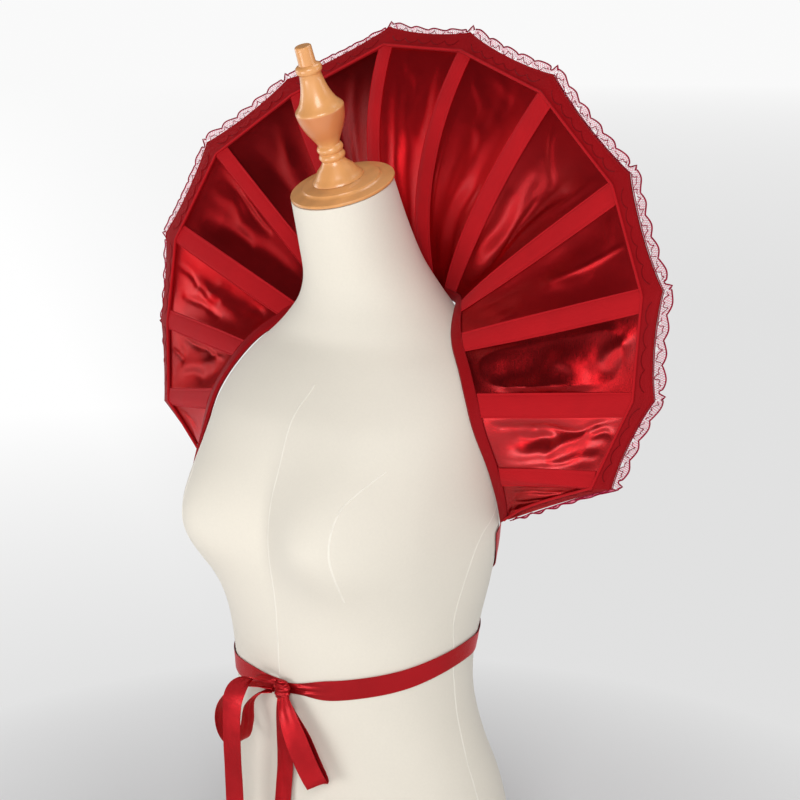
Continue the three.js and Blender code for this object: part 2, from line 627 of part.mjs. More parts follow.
// A knot is a rounded block of wrapped ribbon.
function knotGeometry() {
  const rings = [];
  const levels = 7;
  const sides = 12;
  for (let k = 1; k < levels; k += 1) {
    const polar = Math.PI * (1 - k / levels);
    const ring = [];
    for (let s = 0; s < sides; s += 1) {
      const angle = (2 * Math.PI * s) / sides;
      const wide = Math.sin(polar) ** 0.6;
      ring.push(new THREE.Vector3(
        KNOT.x + KNOT.halfWidth * wide * Math.cos(angle),
        KNOT.y + KNOT.halfDepth * wide * Math.sin(angle),
        KNOT.z + KNOT.halfHeight * Math.cos(polar),
      ));
    }
    rings.push(ring);
  }
  return ringBody(rings);
}

// ---------------------------------------------------------------- the object
function finish(color, roughness, metalness = 0) {
  return new THREE.MeshStandardMaterial({ color, roughness, metalness });
}
const MATERIALS = {
  formCloth: finish(0xe6dfd0, 0.7),
  wood: finish(0xdca566, 0.35),
  satin: finish(0x860a12, 0.3),
  tape: finish(0xa8161f, 0.75),
  trim: finish(0x98101a, 0.6),
  lace: finish(0x8e1220, 0.8),
  ribbon: finish(0xa01020, 0.3),
};

const standCollar = new THREE.Group();
function place(name, geometry, material, parent = standCollar) {
  const mesh = new THREE.Mesh(geometry, material);
  mesh.name = name;
  parent.add(mesh);
}

place('dress_form', torsoGeometry(), MATERIALS.formCloth);
const neckTop = new THREE.Group();
neckTop.position.set(NECK_CAP.x, NECK_CAP.y, NECK_CAP.z);
neckTop.rotation.x = radians(NECK_CAP.tilt);
standCollar.add(neckTop);
place('neck_cap', turnedGeometry(CAP_PROFILE), MATERIALS.wood, neckTop);
const finialSeat = new THREE.Group();
finialSeat.position.x = FINIAL_ASIDE;
neckTop.add(finialSeat);
place('neck_finial', turnedGeometry(FINIAL_PROFILE), MATERIALS.wood, finialSeat);

const numbered = (name, n) => `${name}_${String(n).padStart(2, '0')}`;
for (let gore = 1; gore <= LAST_RIB; gore += 1) {
  place(numbered('gore', gore), goreGeometry(gore), MATERIALS.satin);
}
for (let bone = 1; bone < LAST_RIB; bone += 1) {
  place(numbered('bone_tape', bone), tapeGeometry(bone), MATERIALS.tape);
}
place('rim_band', rimBandGeometry(), MATERIALS.trim);
place('inner_binding', bindingGeometry(), MATERIALS.trim);
for (let gore = 1; gore <= LAST_RIB; gore += 1) {
  place(numbered('lace', gore), laceGeometry(gore), MATERIALS.lace);
}
place('tie_left', tieGeometry(TIE_ROUTES.left), MATERIALS.ribbon);
place('tie_right', tieGeometry(TIE_ROUTES.right), MATERIALS.ribbon);
place('bow_knot', knotGeometry(), MATERIALS.ribbon);
for (const [name, table] of Object.entries(BOW)) place(name, ribbonGeometry(table), MATERIALS.ribbon);

export default standCollar;
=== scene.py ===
"""A fan-shaped high stand collar of satin gores, dressed on a limbless dress form."""
import math

import bpy
from bpy.props import FloatProperty, FloatVectorProperty, IntProperty, PointerProperty
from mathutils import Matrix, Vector, noise


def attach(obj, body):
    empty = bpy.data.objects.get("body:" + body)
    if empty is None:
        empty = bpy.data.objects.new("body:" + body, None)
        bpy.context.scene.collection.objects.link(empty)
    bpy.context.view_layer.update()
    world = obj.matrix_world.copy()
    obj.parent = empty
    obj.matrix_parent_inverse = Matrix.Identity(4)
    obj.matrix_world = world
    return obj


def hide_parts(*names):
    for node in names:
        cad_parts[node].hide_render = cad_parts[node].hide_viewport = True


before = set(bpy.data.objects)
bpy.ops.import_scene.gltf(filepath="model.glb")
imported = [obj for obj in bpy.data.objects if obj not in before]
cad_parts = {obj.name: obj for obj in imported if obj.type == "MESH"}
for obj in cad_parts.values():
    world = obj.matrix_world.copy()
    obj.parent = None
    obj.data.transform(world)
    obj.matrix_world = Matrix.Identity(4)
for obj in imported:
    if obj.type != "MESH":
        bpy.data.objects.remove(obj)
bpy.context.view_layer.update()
MM = 0.001

bl_info = {
    "name": "High Stand Collar",
    "version": (1, 0, 0),
    "blender": (4, 5, 0),
    "location": "View3D > Sidebar > Collar",
    "description": "Dresses the packed stand collar and its dress form",
    "category": "Object",
}

# ------------------------------------------------------------------ sizes, in millimetres
FORM_HEIGHT = 730.8
FORM_ROWS = 150
FORM_COLUMNS = ("height", "half_width", "front", "back", "tilt")
FORM_SECTIONS = [
    (0, 168, 96, 126, 0), (60, 169, 98, 129, 0), (120, 162, 95, 121, 0), (160, 153, 95, 114, 0),
    (200, 140, 96, 102, 0), (240, 128, 105, 100, 0), (280, 127, 110, 101, 0),
    (320, 133, 113, 108, 0), (360, 143, 115, 113, 0), (400, 152, 117, 114, 0),
    (440, 156, 115, 113, 0), (480, 156, 111, 112, 0), (520, 152, 104, 111, 0),
    (545, 144, 89, 110, 0), (570, 128, 69, 109, 0), (590, 107, 54, 107, 1), (610, 86, 48, 102, 3),
    (630, 69, 44, 90, 6), (655, 58, 44, 71, 11), (690, 52, 54, 52, 17),
    (FORM_HEIGHT, 49, 65, 33, 21),
]
BUST = {"height": 427, "aside": 84, "out": 50, "across": 46, "above": 48, "below": 44, "ease": 50}

CAP_PLACE = (0, -16, 735)
CAP_TILT = 21
FINIAL_ASIDE = -3
CAP_SIDES = 96
CAP_PROFILE = [(48.4, -3.6), (49.6, -3.1), (50, -2.2), (50, -1.2), (49.4, -0.4), (48, 0), (40.6, 1),
               (38.6, 1.5), (37.4, 2.6), (36.8, 3.6), (34, 4.4), (28, 5)]
FINIAL_PROFILE = [
    (24.7, 5.3), (24.4, 6.4), (22.8, 8.3), (21.6, 9.4), (19.9, 11.6), (17.6, 15.4), (12.8, 20.1),
    (10.6, 23.6), (10.4, 24.4), (11.4, 25.4), (12.2, 26.8), (12.5, 28.2), (12.2, 29.6),
    (11.4, 31), (10.4, 31.9), (11.4, 33), (12.2, 34.3), (12.5, 35.7), (12.2, 37.1), (11.4, 38.6),
    (10.3, 39.5), (10.6, 41.2), (12.3, 44.7), (14.8, 49), (17.1, 53.2), (19.2, 58), (20.9, 62.7),
    (22, 67), (22.6, 71.2), (22.9, 73.4), (22.8, 74.9), (22, 76.2), (20.4, 77.8), (17.4, 81.6),
    (15.2, 86.3), (13.4, 91), (11.9, 96.7), (10.8, 102), (10, 108), (10.6, 109.2), (11.8, 110.2),
    (12.2, 111.6), (12.2, 114), (11.8, 115.4), (10.4, 116.6), (8.4, 117.4), (8.1, 119),
    (7.9, 126), (7.8, 133), (7.5, 134), (6.8, 134.5),
]

RIB_COLUMNS = ("place", "turn", "height", "tip_x", "tip_y", "tip_z", "bow", "tape", "aside")
RIBS = [
    (0, 70, 424, 160, 36, 429, 0, 23, 0), (1, 85.5, 475, 285, 15, 484, 0, 21, 6),
    (2, 100, 541, 312, 37, 563, 0, 23, -4), (3, 98, 588, 311, 47, 657, 0, 22, -4),
    (4, 72, 611, 263, 65, 753, 2, 22, -6), (5, 31, 613, 165, 87, 835, 20, 21, -8),
    (6, 9, 613, 50, 114, 871, 42, 18, -6.5), (7, -9, 613, -50, 114, 876, 42, 17, -1.5),
    (8, -28, 613, -165, 87, 824, 16, 16, -6), (9, -66, 612, -263, 65, 757, 0, 18, -7),
    (10, -90, 592, -311, 47, 659, 0, 22, -8), (11, -117, 561, -311, 37, 566, 0, 21, -2.5),
    (12, -120, 514, -285, 15, 483, 0, 20, -4), (13, -119, 397, -164, 6, 391, 0, 23, 0),
]
LAST_RIB = len(RIBS) - 1
INNER_EDGE_CLEAR = 3.4
SATIN = 1.2
SEAM_GAP = 0.3
RIM_BAND_WIDTH = 20
BINDING_WIDTH = 10.5
BINDING_EASE = 0.2
BINDING_REACH = 1.7
RIM_SAG = 4.5
BILLOW = 4

GORE_ROWS = 88
GORE_COLUMNS = 62
TAPE_ROWS = 60
EDGE_STEPS = 20  # cells along one gore's share of the rim band and of the binding

# Broad folds: gore, from across, from along, to across, to along, width, how far forward.
FOLDS = [
    (1, 0.5, 0.2, 0.7, 0.8, 0.18, 4), (2, 0.2, 0.1, 0.62, 0.85, 0.15, 4),
    (2, 0.7, 0.15, 0.45, 0.9, 0.15, -3), (3, 0.35, 0.1, 0.3, 0.85, 0.17, -3),
    (4, 0.5, 0.2, 0.55, 0.9, 0.15, 3), (5, 0.5, 0.15, 0.35, 0.85, 0.16, -4),
    (6, 0.6, 0.1, 0.2, 0.9, 0.17, 4), (7, 0.4, 0.15, 0.75, 0.92, 0.15, 4),
    (8, 0.5, 0.2, 0.6, 0.85, 0.15, -3), (9, 0.5, 0.2, 0.3, 0.8, 0.17, 4),
    (10, 0.3, 0.2, 0.7, 0.85, 0.15, -4), (11, 0.5, 0.15, 0.4, 0.85, 0.17, 4),
    (12, 0.4, 0.2, 0.6, 0.8, 0.15, 4), (13, 0.45, 0.2, 0.3, 0.8, 0.17, 4),
]

# Smaller creases: the same, with the width in millimetres.
CREASES = [
    (1, 0.84, 0.30, 0.95, 0.72, 4, -2.2), (1, 0.68, 0.28, 0.79, 0.70, 4, -2.0),
    (1, 0.48, 0.34, 0.60, 0.68, 4, -1.8), (1, 0.25, 0.40, 0.34, 0.62, 4, -1.0),
    (2, 0.80, 0.04, 0.70, 0.36, 3.6, -2.0), (2, 0.70, 0.36, 0.64, 0.66, 3.6, -2.2),
    (2, 0.64, 0.66, 0.84, 0.92, 4, -1.7), (2, 0.56, 0.26, 0.46, 0.50, 7, -3.0),
    (2, 0.34, 0.46, 0.60, 0.68, 5, 2.2), (2, 0.60, 0.72, 0.60, 0.88, 4, -2.0),
    (2, 0.18, 0.08, 0.24, 0.46, 4, 1.6), (2, 0.24, 0.46, 0.36, 0.80, 4, 1.6),
    (3, 0.50, 0.15, 0.52, 0.84, 34, 8.0), (3, 0.36, 0.44, 0.39, 0.68, 11, 3.2),
    (3, 0.42, 0.76, 0.76, 0.93, 7, 2.0),
    (4, 0.80, 0.92, 0.56, 0.84, 6, 1.2), (4, 0.48, 0.54, 0.48, 0.92, 2.6, 1.2),
    (4, 0.40, 0.70, 0.38, 0.46, 10, 1.6), (4, 0.30, 0.38, 0.44, 0.20, 9, 1.8),
    (4, 0.64, 0.60, 0.58, 0.30, 9, -1.5),
    (5, 0.80, 0.93, 0.42, 0.72, 3, 1.3), (5, 0.46, 0.62, 0.38, 0.34, 2.6, 1.3),
    (5, 0.68, 0.55, 0.68, 0.24, 9, 2.0), (5, 0.14, 0.86, 0.30, 0.30, 5, 1.6),
    (5, 0.60, 0.68, 0.54, 0.30, 6, -1.5),
    (6, 0.82, 0.94, 0.50, 0.80, 5, 1.3), (6, 0.50, 0.80, 0.36, 0.66, 7, 1.1),
    (6, 0.56, 0.94, 0.34, 0.88, 5, 1.3), (6, 0.34, 0.88, 0.26, 0.80, 6, -1.1),
    (6, 0.74, 0.70, 0.60, 0.26, 16, 2.6), (6, 0.20, 0.50, 0.44, 0.16, 8, -2.2),
    (7, 0.74, 0.94, 0.46, 0.84, 5, 1.3), (7, 0.44, 0.84, 0.32, 0.62, 7, 1.3),
    (7, 0.50, 0.62, 0.40, 0.28, 9, 1.6), (7, 0.22, 0.90, 0.20, 0.64, 6, -1.1),
    (8, 0.30, 0.86, 0.50, 0.30, 8, 1.2), (8, 0.66, 0.90, 0.60, 0.50, 6, -1.2),
    (9, 0.25, 0.86, 0.40, 0.40, 8, 1.0), (9, 0.60, 0.80, 0.55, 0.34, 8, -1.2),
    (10, 0.10, 0.84, 0.18, 0.46, 6, -2.4), (10, 0.08, 0.66, 0.09, 0.44, 4, 1.5),
    (10, 0.40, 0.62, 0.48, 0.36, 9, 1.8), (10, 0.30, 0.84, 0.36, 0.60, 8, 1.6),
    (10, 0.62, 0.80, 0.66, 0.40, 9, -1.8),
    (11, 0.28, 0.90, 0.40, 0.70, 3.6, -1.8), (11, 0.40, 0.70, 0.48, 0.48, 4, -1.8),
    (11, 0.30, 0.48, 0.42, 0.66, 10, 2.4), (11, 0.62, 0.80, 0.66, 0.42, 4, -2.2),
    (11, 0.34, 0.24, 0.36, 0.06, 9, -2.4),
    (12, 0.36, 0.94, 0.45, 0.72, 3.6, -1.8), (12, 0.10, 0.82, 0.17, 0.40, 4.5, -2.4),
    (12, 0.17, 0.40, 0.25, 0.26, 4, -1.8), (12, 0.24, 0.72, 0.46, 0.36, 10, 2.0),
    (12, 0.16, 0.30, 0.26, 0.16, 3.6, 1.4), (12, 0.62, 0.70, 0.68, 0.35, 5, -1.5),
    (13, 0.10, 0.80, 0.24, 0.48, 5, -2.4), (13, 0.50, 0.70, 0.46, 0.40, 5, 1.2),
]

# Each gore's satin: gore, painted light and shade (how much lighter or darker this gore's copy of
# the one satin colour is), roughness, how crumpled, gloss.
GORE_LOOKS = [
    (1, 1.15, 0.32, 1.0, 0.5), (2, 1.25, 0.33, 0.8, 0.6), (3, 0.75, 0.29, 0.9, 0.2),
    (4, 1.05, 0.36, 0.6, 0.2), (5, 0.92, 0.38, 0.5, 0.2), (6, 1.08, 0.38, 0.5, 0.2),
    (7, 1.4, 0.38, 0.5, 0.2), (8, 0.5, 0.36, 0.6, 0.15), (9, 0.55, 0.36, 0.6, 0.15),
    (10, 0.85, 0.38, 0.5, 0.2), (11, 1.5, 0.38, 0.6, 0.3), (12, 0.9, 0.38, 0.6, 0.2),
    (13, 1.0, 0.36, 0.7, 0.2),
]

# Seams of the form's cover: turn and height of points down each seam. The sides are alike.
SEAM_STEPS = 90
SEAM_LIFT = -0.95
SEAMS = {
    "side": [(64, 470), (78, 436), (89, 420), (95, 380), (97, 340), (93, 308), (89, 268), (89, 236),
             (93, 196), (95, 150), (95, 90), (94, 20)],
    "centre": [(171, 556), (172, 548), (174, 536), (176, 476), (177, 456), (178, 396), (179, 324),
               (180, 260), (180, 160), (180, 20)],
    "bust": [(132, 492), (137, 480), (142, 464), (143, 448), (143, 436), (142.5, 404), (143, 370)],
    "back": [(12, 560), (15, 520), (18, 460), (20, 400), (19, 340), (18, 290), (19, 240), (21, 160),
             (22, 20)],
}

LACE = {"pitch": 21.5, "bar": 1.6, "point_reach": 10, "point_width": 9, "ripple": 1.4}
# Each gore's lace: reach at a valley, reach at a crest, how far behind the satin.
LACE_REACH = [
    (6.4, 8.5, 1), (7, 10, 0.7), (7.4, 10.8, 0.7), (6.5, 9.2, 0.7), (6.4, 9, 0.7), (6.5, 9, 0.7),
    (6.4, 8, 0.7), (6.5, 9, 0.7), (6.8, 10.5, 0.7), (6.8, 10.5, 0.7), (6.5, 9.5, 0.7),
    (6.4, 9, 0.7), (6.4, 8.5, 2),
]
# Radius of each kind of thread.
THREADS = {"net": 0.2, "outline": 0.75, "foot": 0.5, "sprig": 0.4, "heading": 0.55, "fold": 1.3}

RIBBON_WIDTH = 20
RIBBON = 1
RIBBON_STEPS = 12  # cells from one point of a ribbon's route to the next
TIE_CLEAR = 0.9
TIE_NARROWING = 48  # how far from the knot a tie starts to narrow
TIE_AT_KNOT = {"left": 0.8, "right": 0.52}
TIE_COLUMNS = ("place", "turn", "height", "lift")
TIE_ROUTES = {
    "left": [
        (70.2, 418, 0.2), (68.5, 408, 0), (62, 388, 0), (48, 370, 0), (25, 352, 0), (0, 336, 0),
        (-25, 318, 0), (-50, 300, 0), (-75, 282, 0), (-100, 268, 0), (-120, 263, 0),
        (-139, 263, 0), (-157, 266, 0), (-181.8, 267, 0)],
    "right": [
        (-117, 386, 0), (-100, 378, 0), (-84, 371, 0), (-68, 365, 0.4), (-45, 354, 1.5),
        (-20, 336, 1.7), (0, 323, 1.7), (20, 311, 1.7), (40, 304, 0.9), (62, 299, 0),
        (82, 300, 0), (100, 295, 0), (120, 286, 0), (138, 279, 0), (155, 273, 0), (175.4, 268, 0)],
}

LOOP_RISE = {"bow_loop_left": 0.48}
KNOT = {"x": 9, "y": -115.7, "z": 267, "half_width": 9, "half_depth": 4.6, "half_height": 10}
BOW_COLUMNS = ("place", "x", "y", "z", "width", "width_turn")
BOW = {
    "bow_loop_right": [
        (-0.2, -116.5, 268, 9, 90), (-18, -120, 267, 13, 90), (-40, -122, 261, 18, 90),
        (-57, -123, 246, 19.5, 90), (-65, -123, 228, 19.5, 90), (-62, -123, 211, 19.5, 90),
        (-51, -123, 202, 19.5, 90), (-39, -122, 206, 19, 90), (-33, -121, 224, 18, 90),
        (-30, -120, 245, 14, 90), (-16, -118, 259, 10, 90), (-2, -117, 263, 8, 90)],
    "bow_loop_left": [
        (13.6, -120.2, 262.3, 12, 12), (22, -123, 248, 17, 25), (31, -121, 225, 21.5, 28),
        (40.5, -115, 196, 22, 28), (47, -111, 181, 21.5, 28), (46.5, -108.5, 179.4, 21.5, 28),
        (45, -106.5, 183, 21.5, 28), (39, -110, 200, 21.5, 26), (32, -114.5, 224, 19, 22),
        (22, -117, 244, 14, 12), (15.5, -117, 254.5, 11, 0)],
    "bow_tail_right": [
        (1.9, -117, 274.9, 8, 90), (-12, -127, 278, 13, 75), (-24, -136, 272, 17, 50),
        (-32, -139, 258, 19.5, 25), (-35, -139.5, 240, 20, 12), (-37, -138, 210, 20, 10),
        (-39, -135, 180, 20, 10), (-41, -132, 150, 20, 12), (-42, -130, 112, 20, 14)],
    "bow_tail_left": [
        (9, -115, 256.7, 12, 0), (6, -112, 242, 16, 0), (2, -106.5, 222, 19.5, 0),
        (-2, -101.5, 198, 20, 0), (-5, -99.5, 170, 20, 0), (-8, -100, 140, 20, 0),
        (-10, -101.5, 106, 20, 0)],
}


# ------------------------------------------------------------------ light and stage
BACKDROP = 0.95
FLOOR_RADIUS = 60
FLOOR = {
    "shade_toward": (0.766, 0.643, 0), "shaded": 0.755,
    "dim_toward": (-0.588, -0.809, 0), "dim": 0.3,
    "lit": (0.25, 0.7), "near": (0.6, 2.4), "near_level": 0.75, "far": (4.0, 24.0),
}
CAMERA = {"lens": 77.4, "sensor": 36, "place": (1.0734, -1.2113, 0.8812), "turn": (77.61, 0, 40)}
LIT_HEIGHT = 0.5
LIGHTS = [  # name, turn from the front in degrees, rise in degrees, distance, size, share of power
    ("key", 38, 22, 2.6, (1.2, 1.2), 1.0),
    ("window", -77, 8, 2.6, (0.9, 1.3), 0.22),
    ("far side", 122, 14, 2.6, (1.0, 1.6), 0.28),
    ("low", -14, -14, 1.3, (0.7, 0.36), 0.11),
    ("top", 150, 75, 2.2, (1.4, 1.0), 0.3),
]


# ------------------------------------------------------------------ small helpers
def clamp(value, low=0.0, high=1.0):
    return min(max(value, low), high)


def mix(a, b, t):
    return a + (b - a) * t


def ease(value, low, high):
    t = clamp((value - low) / (high - low))
    return t * t * (3 - 2 * t)


class Table:
    """Rows of numbers with named columns, read smoothly at places between the rows."""

    def __init__(self, columns, rows):
        self.columns = columns
        self.rows = rows
        self.keys = [row[0] for row in rows]

    def at(self, place, *names):
        last = len(self.rows) - 1
        i = next((k for k, key in enumerate(self.keys) if key > place), last)
        i = max(i, 1)
        a, b, c, d = (self.rows[int(clamp(i + k, 0, last))] for k in (-2, -1, 0, 1))
        span = c[0] - b[0]
        t = clamp((place - b[0]) / span)
        found = []
        for name in names:
            n = self.columns.index(name)
            m0 = (c[n] - a[n]) / (c[0] - a[0]) * span
            m1 = (d[n] - b[n]) / (d[0] - b[0]) * span
            found.append((2 * t ** 3 - 3 * t ** 2 + 1) * b[n] + (t ** 3 - 2 * t ** 2 + t) * m0
                         + (3 * t ** 2 - 2 * t ** 3) * c[n] + (t ** 3 - t ** 2) * m1)
        return found


FORM = Table(FORM_COLUMNS, FORM_SECTIONS)
INNER_EDGE = Table(RIB_COLUMNS, RIBS)


def placed(columns, rows):
    return Table(columns, [(i, *row) for i, row in enumerate(rows)])


# ------------------------------------------------------------------ the dress form's surface
def form_point(turn, height):
    half_width, front, back, tilt = FORM.at(height, "half_width", "front", "back", "tilt")
    angle = math.radians(turn)
    lean = math.radians(tilt)
    x = half_width * math.sin(angle)
    depth = (back + front) / 2 * math.cos(angle)
    if depth < 0:
        across = (abs(x) - BUST["aside"]) / BUST["across"]
        up = height - BUST["height"]
        up /= BUST["above"] if up > 0 else BUST["below"]
        swell = BUST["out"] * math.exp(-(across * across + up * up) / 2)
        depth -= swell * min(1, -depth / BUST["ease"])
    return Vector((x, (back - front) / 2 + depth * math.cos(lean), height + depth * math.sin(lean)))


def form_frame(turn, height):
    step = 0.5
    around = (form_point(turn + step, height) - form_point(turn - step, height)) / (2 * step)
    up = (form_point(turn, height + step) - form_point(turn, height - step)) / (2 * step)
    return around, up, up.cross(around).normalized()


def off_form(turn, height, lift):
    return form_point(turn, height) + form_frame(turn, height)[2] * lift


# ------------------------------------------------------------------ the collar's surface
class Bone:
    def __init__(self, root, tip, bow):
        self.root = root
        self.tip = tip
        self.control = (root + tip) / 2 + Vector((0, -2 * bow, 0))
        steps = 64
        points = [self.point(k / steps) for k in range(steps + 1)]
        self.length = sum((b - a).length for a, b in zip(points, points[1:]))

    def point(self, t):
        return self.root * (1 - t) ** 2 + self.control * (2 * t * (1 - t)) + self.tip * t * t

    def tangent(self, t):
        return ((self.control - self.root) * (1 - t) + (self.tip - self.control) * t).normalized()


def inner_point(place):
    turn, height = INNER_EDGE.at(place, "turn", "height")
    return off_form(turn, height, INNER_EDGE_CLEAR)


BONES = [Bone(inner_point(i), Vector(row[3:6]), row[6]) for i, row in enumerate(RIBS)]


def bone_normal(i, along):
    before = BONES[max(i - 1, 0)].point(along)
    after = BONES[min(i + 1, LAST_RIB)].point(along)
    return BONES[i].tangent(along).cross(after - before).normalized()


def binding_width(length):
    return min(BINDING_WIDTH, 0.42 * length)


def band_width(length):
    return min(RIM_BAND_WIDTH, 0.42 * length)


def tape_reach(i, way, along):
    """How far the tape over bone i reaches, up to its edge that lies way (-1 or 1) of the bone."""
    tape, aside = RIBS[i][7:9]
    return tape / 2 + way * aside * along


class Gore:
    """The flat gore between two bones and its relief. across runs from bone to bone."""

    def __init__(self, number):
        self.number = number
        self.sides = (BONES[number - 1], BONES[number])
        self.rows = {}
        self.sweeps = {}
        self.folds = [row for row in FOLDS if row[0] == number]
        self.creases = [row[1:] for row in CREASES if row[0] == number]

    def row(self, along):
        key = round(along, 6)
        if key not in self.rows:
            self.rows[key] = (self.sides[0].point(along), self.sides[1].point(along),
                              bone_normal(self.number - 1, along), bone_normal(self.number, along))
        return self.rows[key]

    def sweep(self, across):
        key = round(across, 6)
        if key not in self.sweeps:
            chord = self.sides[0].root.lerp(self.sides[1].root, across)
            self.sweeps[key] = inner_point(self.number - 1 + across) - chord
        return self.sweeps[key]

    def width(self, along):
        a, b = self.row(along)[:2]
        return (b - a).length

    def length(self, across):
        return mix(self.sides[0].length, self.sides[1].length, across)

    def sag(self, across):
        return RIM_SAG * math.sin(math.pi * clamp(across)) ** 0.7

    def free_along(self, across):
        length = self.length(across)
        return (binding_width(length) / length,
                (length - band_width(length)) / (length - self.sag(across)))

    def free_across(self, along):
        width = self.width(along)
        return (min(tape_reach(self.number - 1, 1, along) / width, 0.46),
                1 - min(tape_reach(self.number, -1, along) / width, 0.46))

    def normal(self, across, along):
        a, b = self.row(along)[2:]
        return a.lerp(b, across).normalized()

    def room(self, across, along):
        low, high = self.free_along(across)
        upward = clamp((along - low) / (high - low))
        low, high = self.free_across(along)
        sideways = clamp((across - low) / (high - low))
        return math.sin(math.pi * sideways) * min(1, 1.6 * math.sin(math.pi * upward))

    def relief(self, across, along):
        edge = self.room(across, along)
        out = -BILLOW * edge
        for _, a0, l0, a1, l1, width, depth in self.folds:
            way = (along - l0) / (l1 - l0)
            aside = (across - mix(a0, a1, way)) / width
            ends = ease(way, -0.15, 0.3) * (1 - ease(way, 0.75, 1.1))
            out += depth * math.exp(-aside * aside) * ends * edge
        return out

    def crease(self, across, along):
        """How far the small creases stand forward."""
        width, length = self.width(along), self.length(across)
        out = 0.0
        for a0, l0, a1, l1, wide, high in self.creases:
            run = Vector(((a1 - a0) * width, (l1 - l0) * length))
            here = Vector(((across - a0) * width, (along - l0) * length))
            way = clamp(here.dot(run) / run.length_squared)
            bend = 0.8 * wide * math.sin(3.1 * way + 20 * a0)
            away = (here - run * way).length
            side = here.x * run.y - here.y * run.x
            away = abs(math.copysign(away, side) - bend * math.sin(math.pi * way))
            out += high * math.exp(-(away / wide) ** 2) * (0.55 + 0.45 * math.sin(math.pi * way))
        return out * min(1, 3 * self.room(across, along))

    def point(self, across, whole, offset, relief=None):
        """A point moved forward of the satin; the rim is drawn in between two bones."""
        along = whole * (1 - self.sag(across) / self.length(across))
        flat = self.sides[0].point(along).lerp(self.sides[1].point(along), across)
        out = (self.relief(across, whole) if relief is None else relief) + offset
        return flat + self.sweep(across) * (1 - along) ** 2 + self.normal(across, whole) * out


GORES = [None] + [Gore(n) for n in range(1, LAST_RIB + 1)]
SKIN = SATIN / 2
LAID_ON = SKIN + SEAM_GAP


# ------------------------------------------------------------------ meshes
def tidy_normals(piece, angle=40):
    bpy.ops.object.select_all(action="DESELECT")
    piece.select_set(True)
    bpy.context.view_layer.objects.active = piece
    bpy.ops.object.shade_smooth_by_angle(angle=math.radians(angle))
    piece.select_set(False)


def cloth_mesh(name, rows, columns, at, uv):
    """A closed sheet of cloth: at(row, column, side) in millimetres, uv(row, column) in 10 cm."""
    verts, uvs, faces = [], [], []
    for side in (0, 1):
        for i in range(rows + 1):
            for j in range(columns + 1):
                verts.append(at(i, j, side) * MM)
                uvs.append(uv(i, j))

    def vert(i, j, side):
        return (side * (rows + 1) + i) * (columns + 1) + j

    for i in range(rows):
        for j in range(columns):
            corners = [(i, j), (i, j + 1), (i + 1, j + 1), (i + 1, j)]
            beyond = [(i - 1, j), (i, j + 1), (i + 1, j), (i, j - 1)]
            faces.append([vert(*c, 1) for c in corners])
            faces.append([vert(*c, 0) for c in reversed(corners)])
            for k, (row, column) in enumerate(beyond):
                if not (0 <= row < rows and 0 <= column < columns):
                    a, b = corners[k], corners[(k + 1) % 4]
                    faces.append([vert(*b, 1), vert(*a, 1), vert(*a, 0), vert(*b, 0)])
    return solid_mesh(name, verts, uvs, faces)


def solid_mesh(name, verts, uvs, faces, angle=40):
    volume = 0.0
    for face in faces:
        for k in range(1, len(face) - 1):
            volume += verts[face[0]].dot(verts[face[k]].cross(verts[face[k + 1]]))
    if volume < 0:
        faces = [list(reversed(face)) for face in faces]
    used = sorted({v for face in faces for v in face})
    again = {v: n for n, v in enumerate(used)}
    mesh = bpy.data.meshes.new(name)
    mesh.from_pydata([verts[v] for v in used], [], [[again[v] for v in face] for face in faces])
    layer = mesh.uv_layers.new(name="UVMap")
    flat = []
    for face in faces:
        for v in face:
            flat.extend(uvs[v])
    layer.data.foreach_set("uv", flat)
    mesh.update()
    piece = bpy.data.objects.new(name, mesh)
    bpy.context.collection.objects.link(piece)
    tidy_normals(piece, angle)
    return piece


def ring_faces(last, sides):
    """Faces of a closed pipe of rings, numbered from 0 to last, with an end face at each end."""
    faces = []
    for k in range(last):
        for s in range(sides):
            a, b = k * sides + s, k * sides + (s + 1) % sides
            faces.append([a, b, b + sides, a + sides])
    faces.append(list(range(sides - 1, -1, -1)))
    faces.append([last * sides + s for s in range(sides)])
    return faces


def finish_piece(piece, material, slot, *nodes):
    piece.data.materials.clear()
    piece.data.materials.append(material)
    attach(piece, "root")
    if nodes:
        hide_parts(*nodes)
    return piece


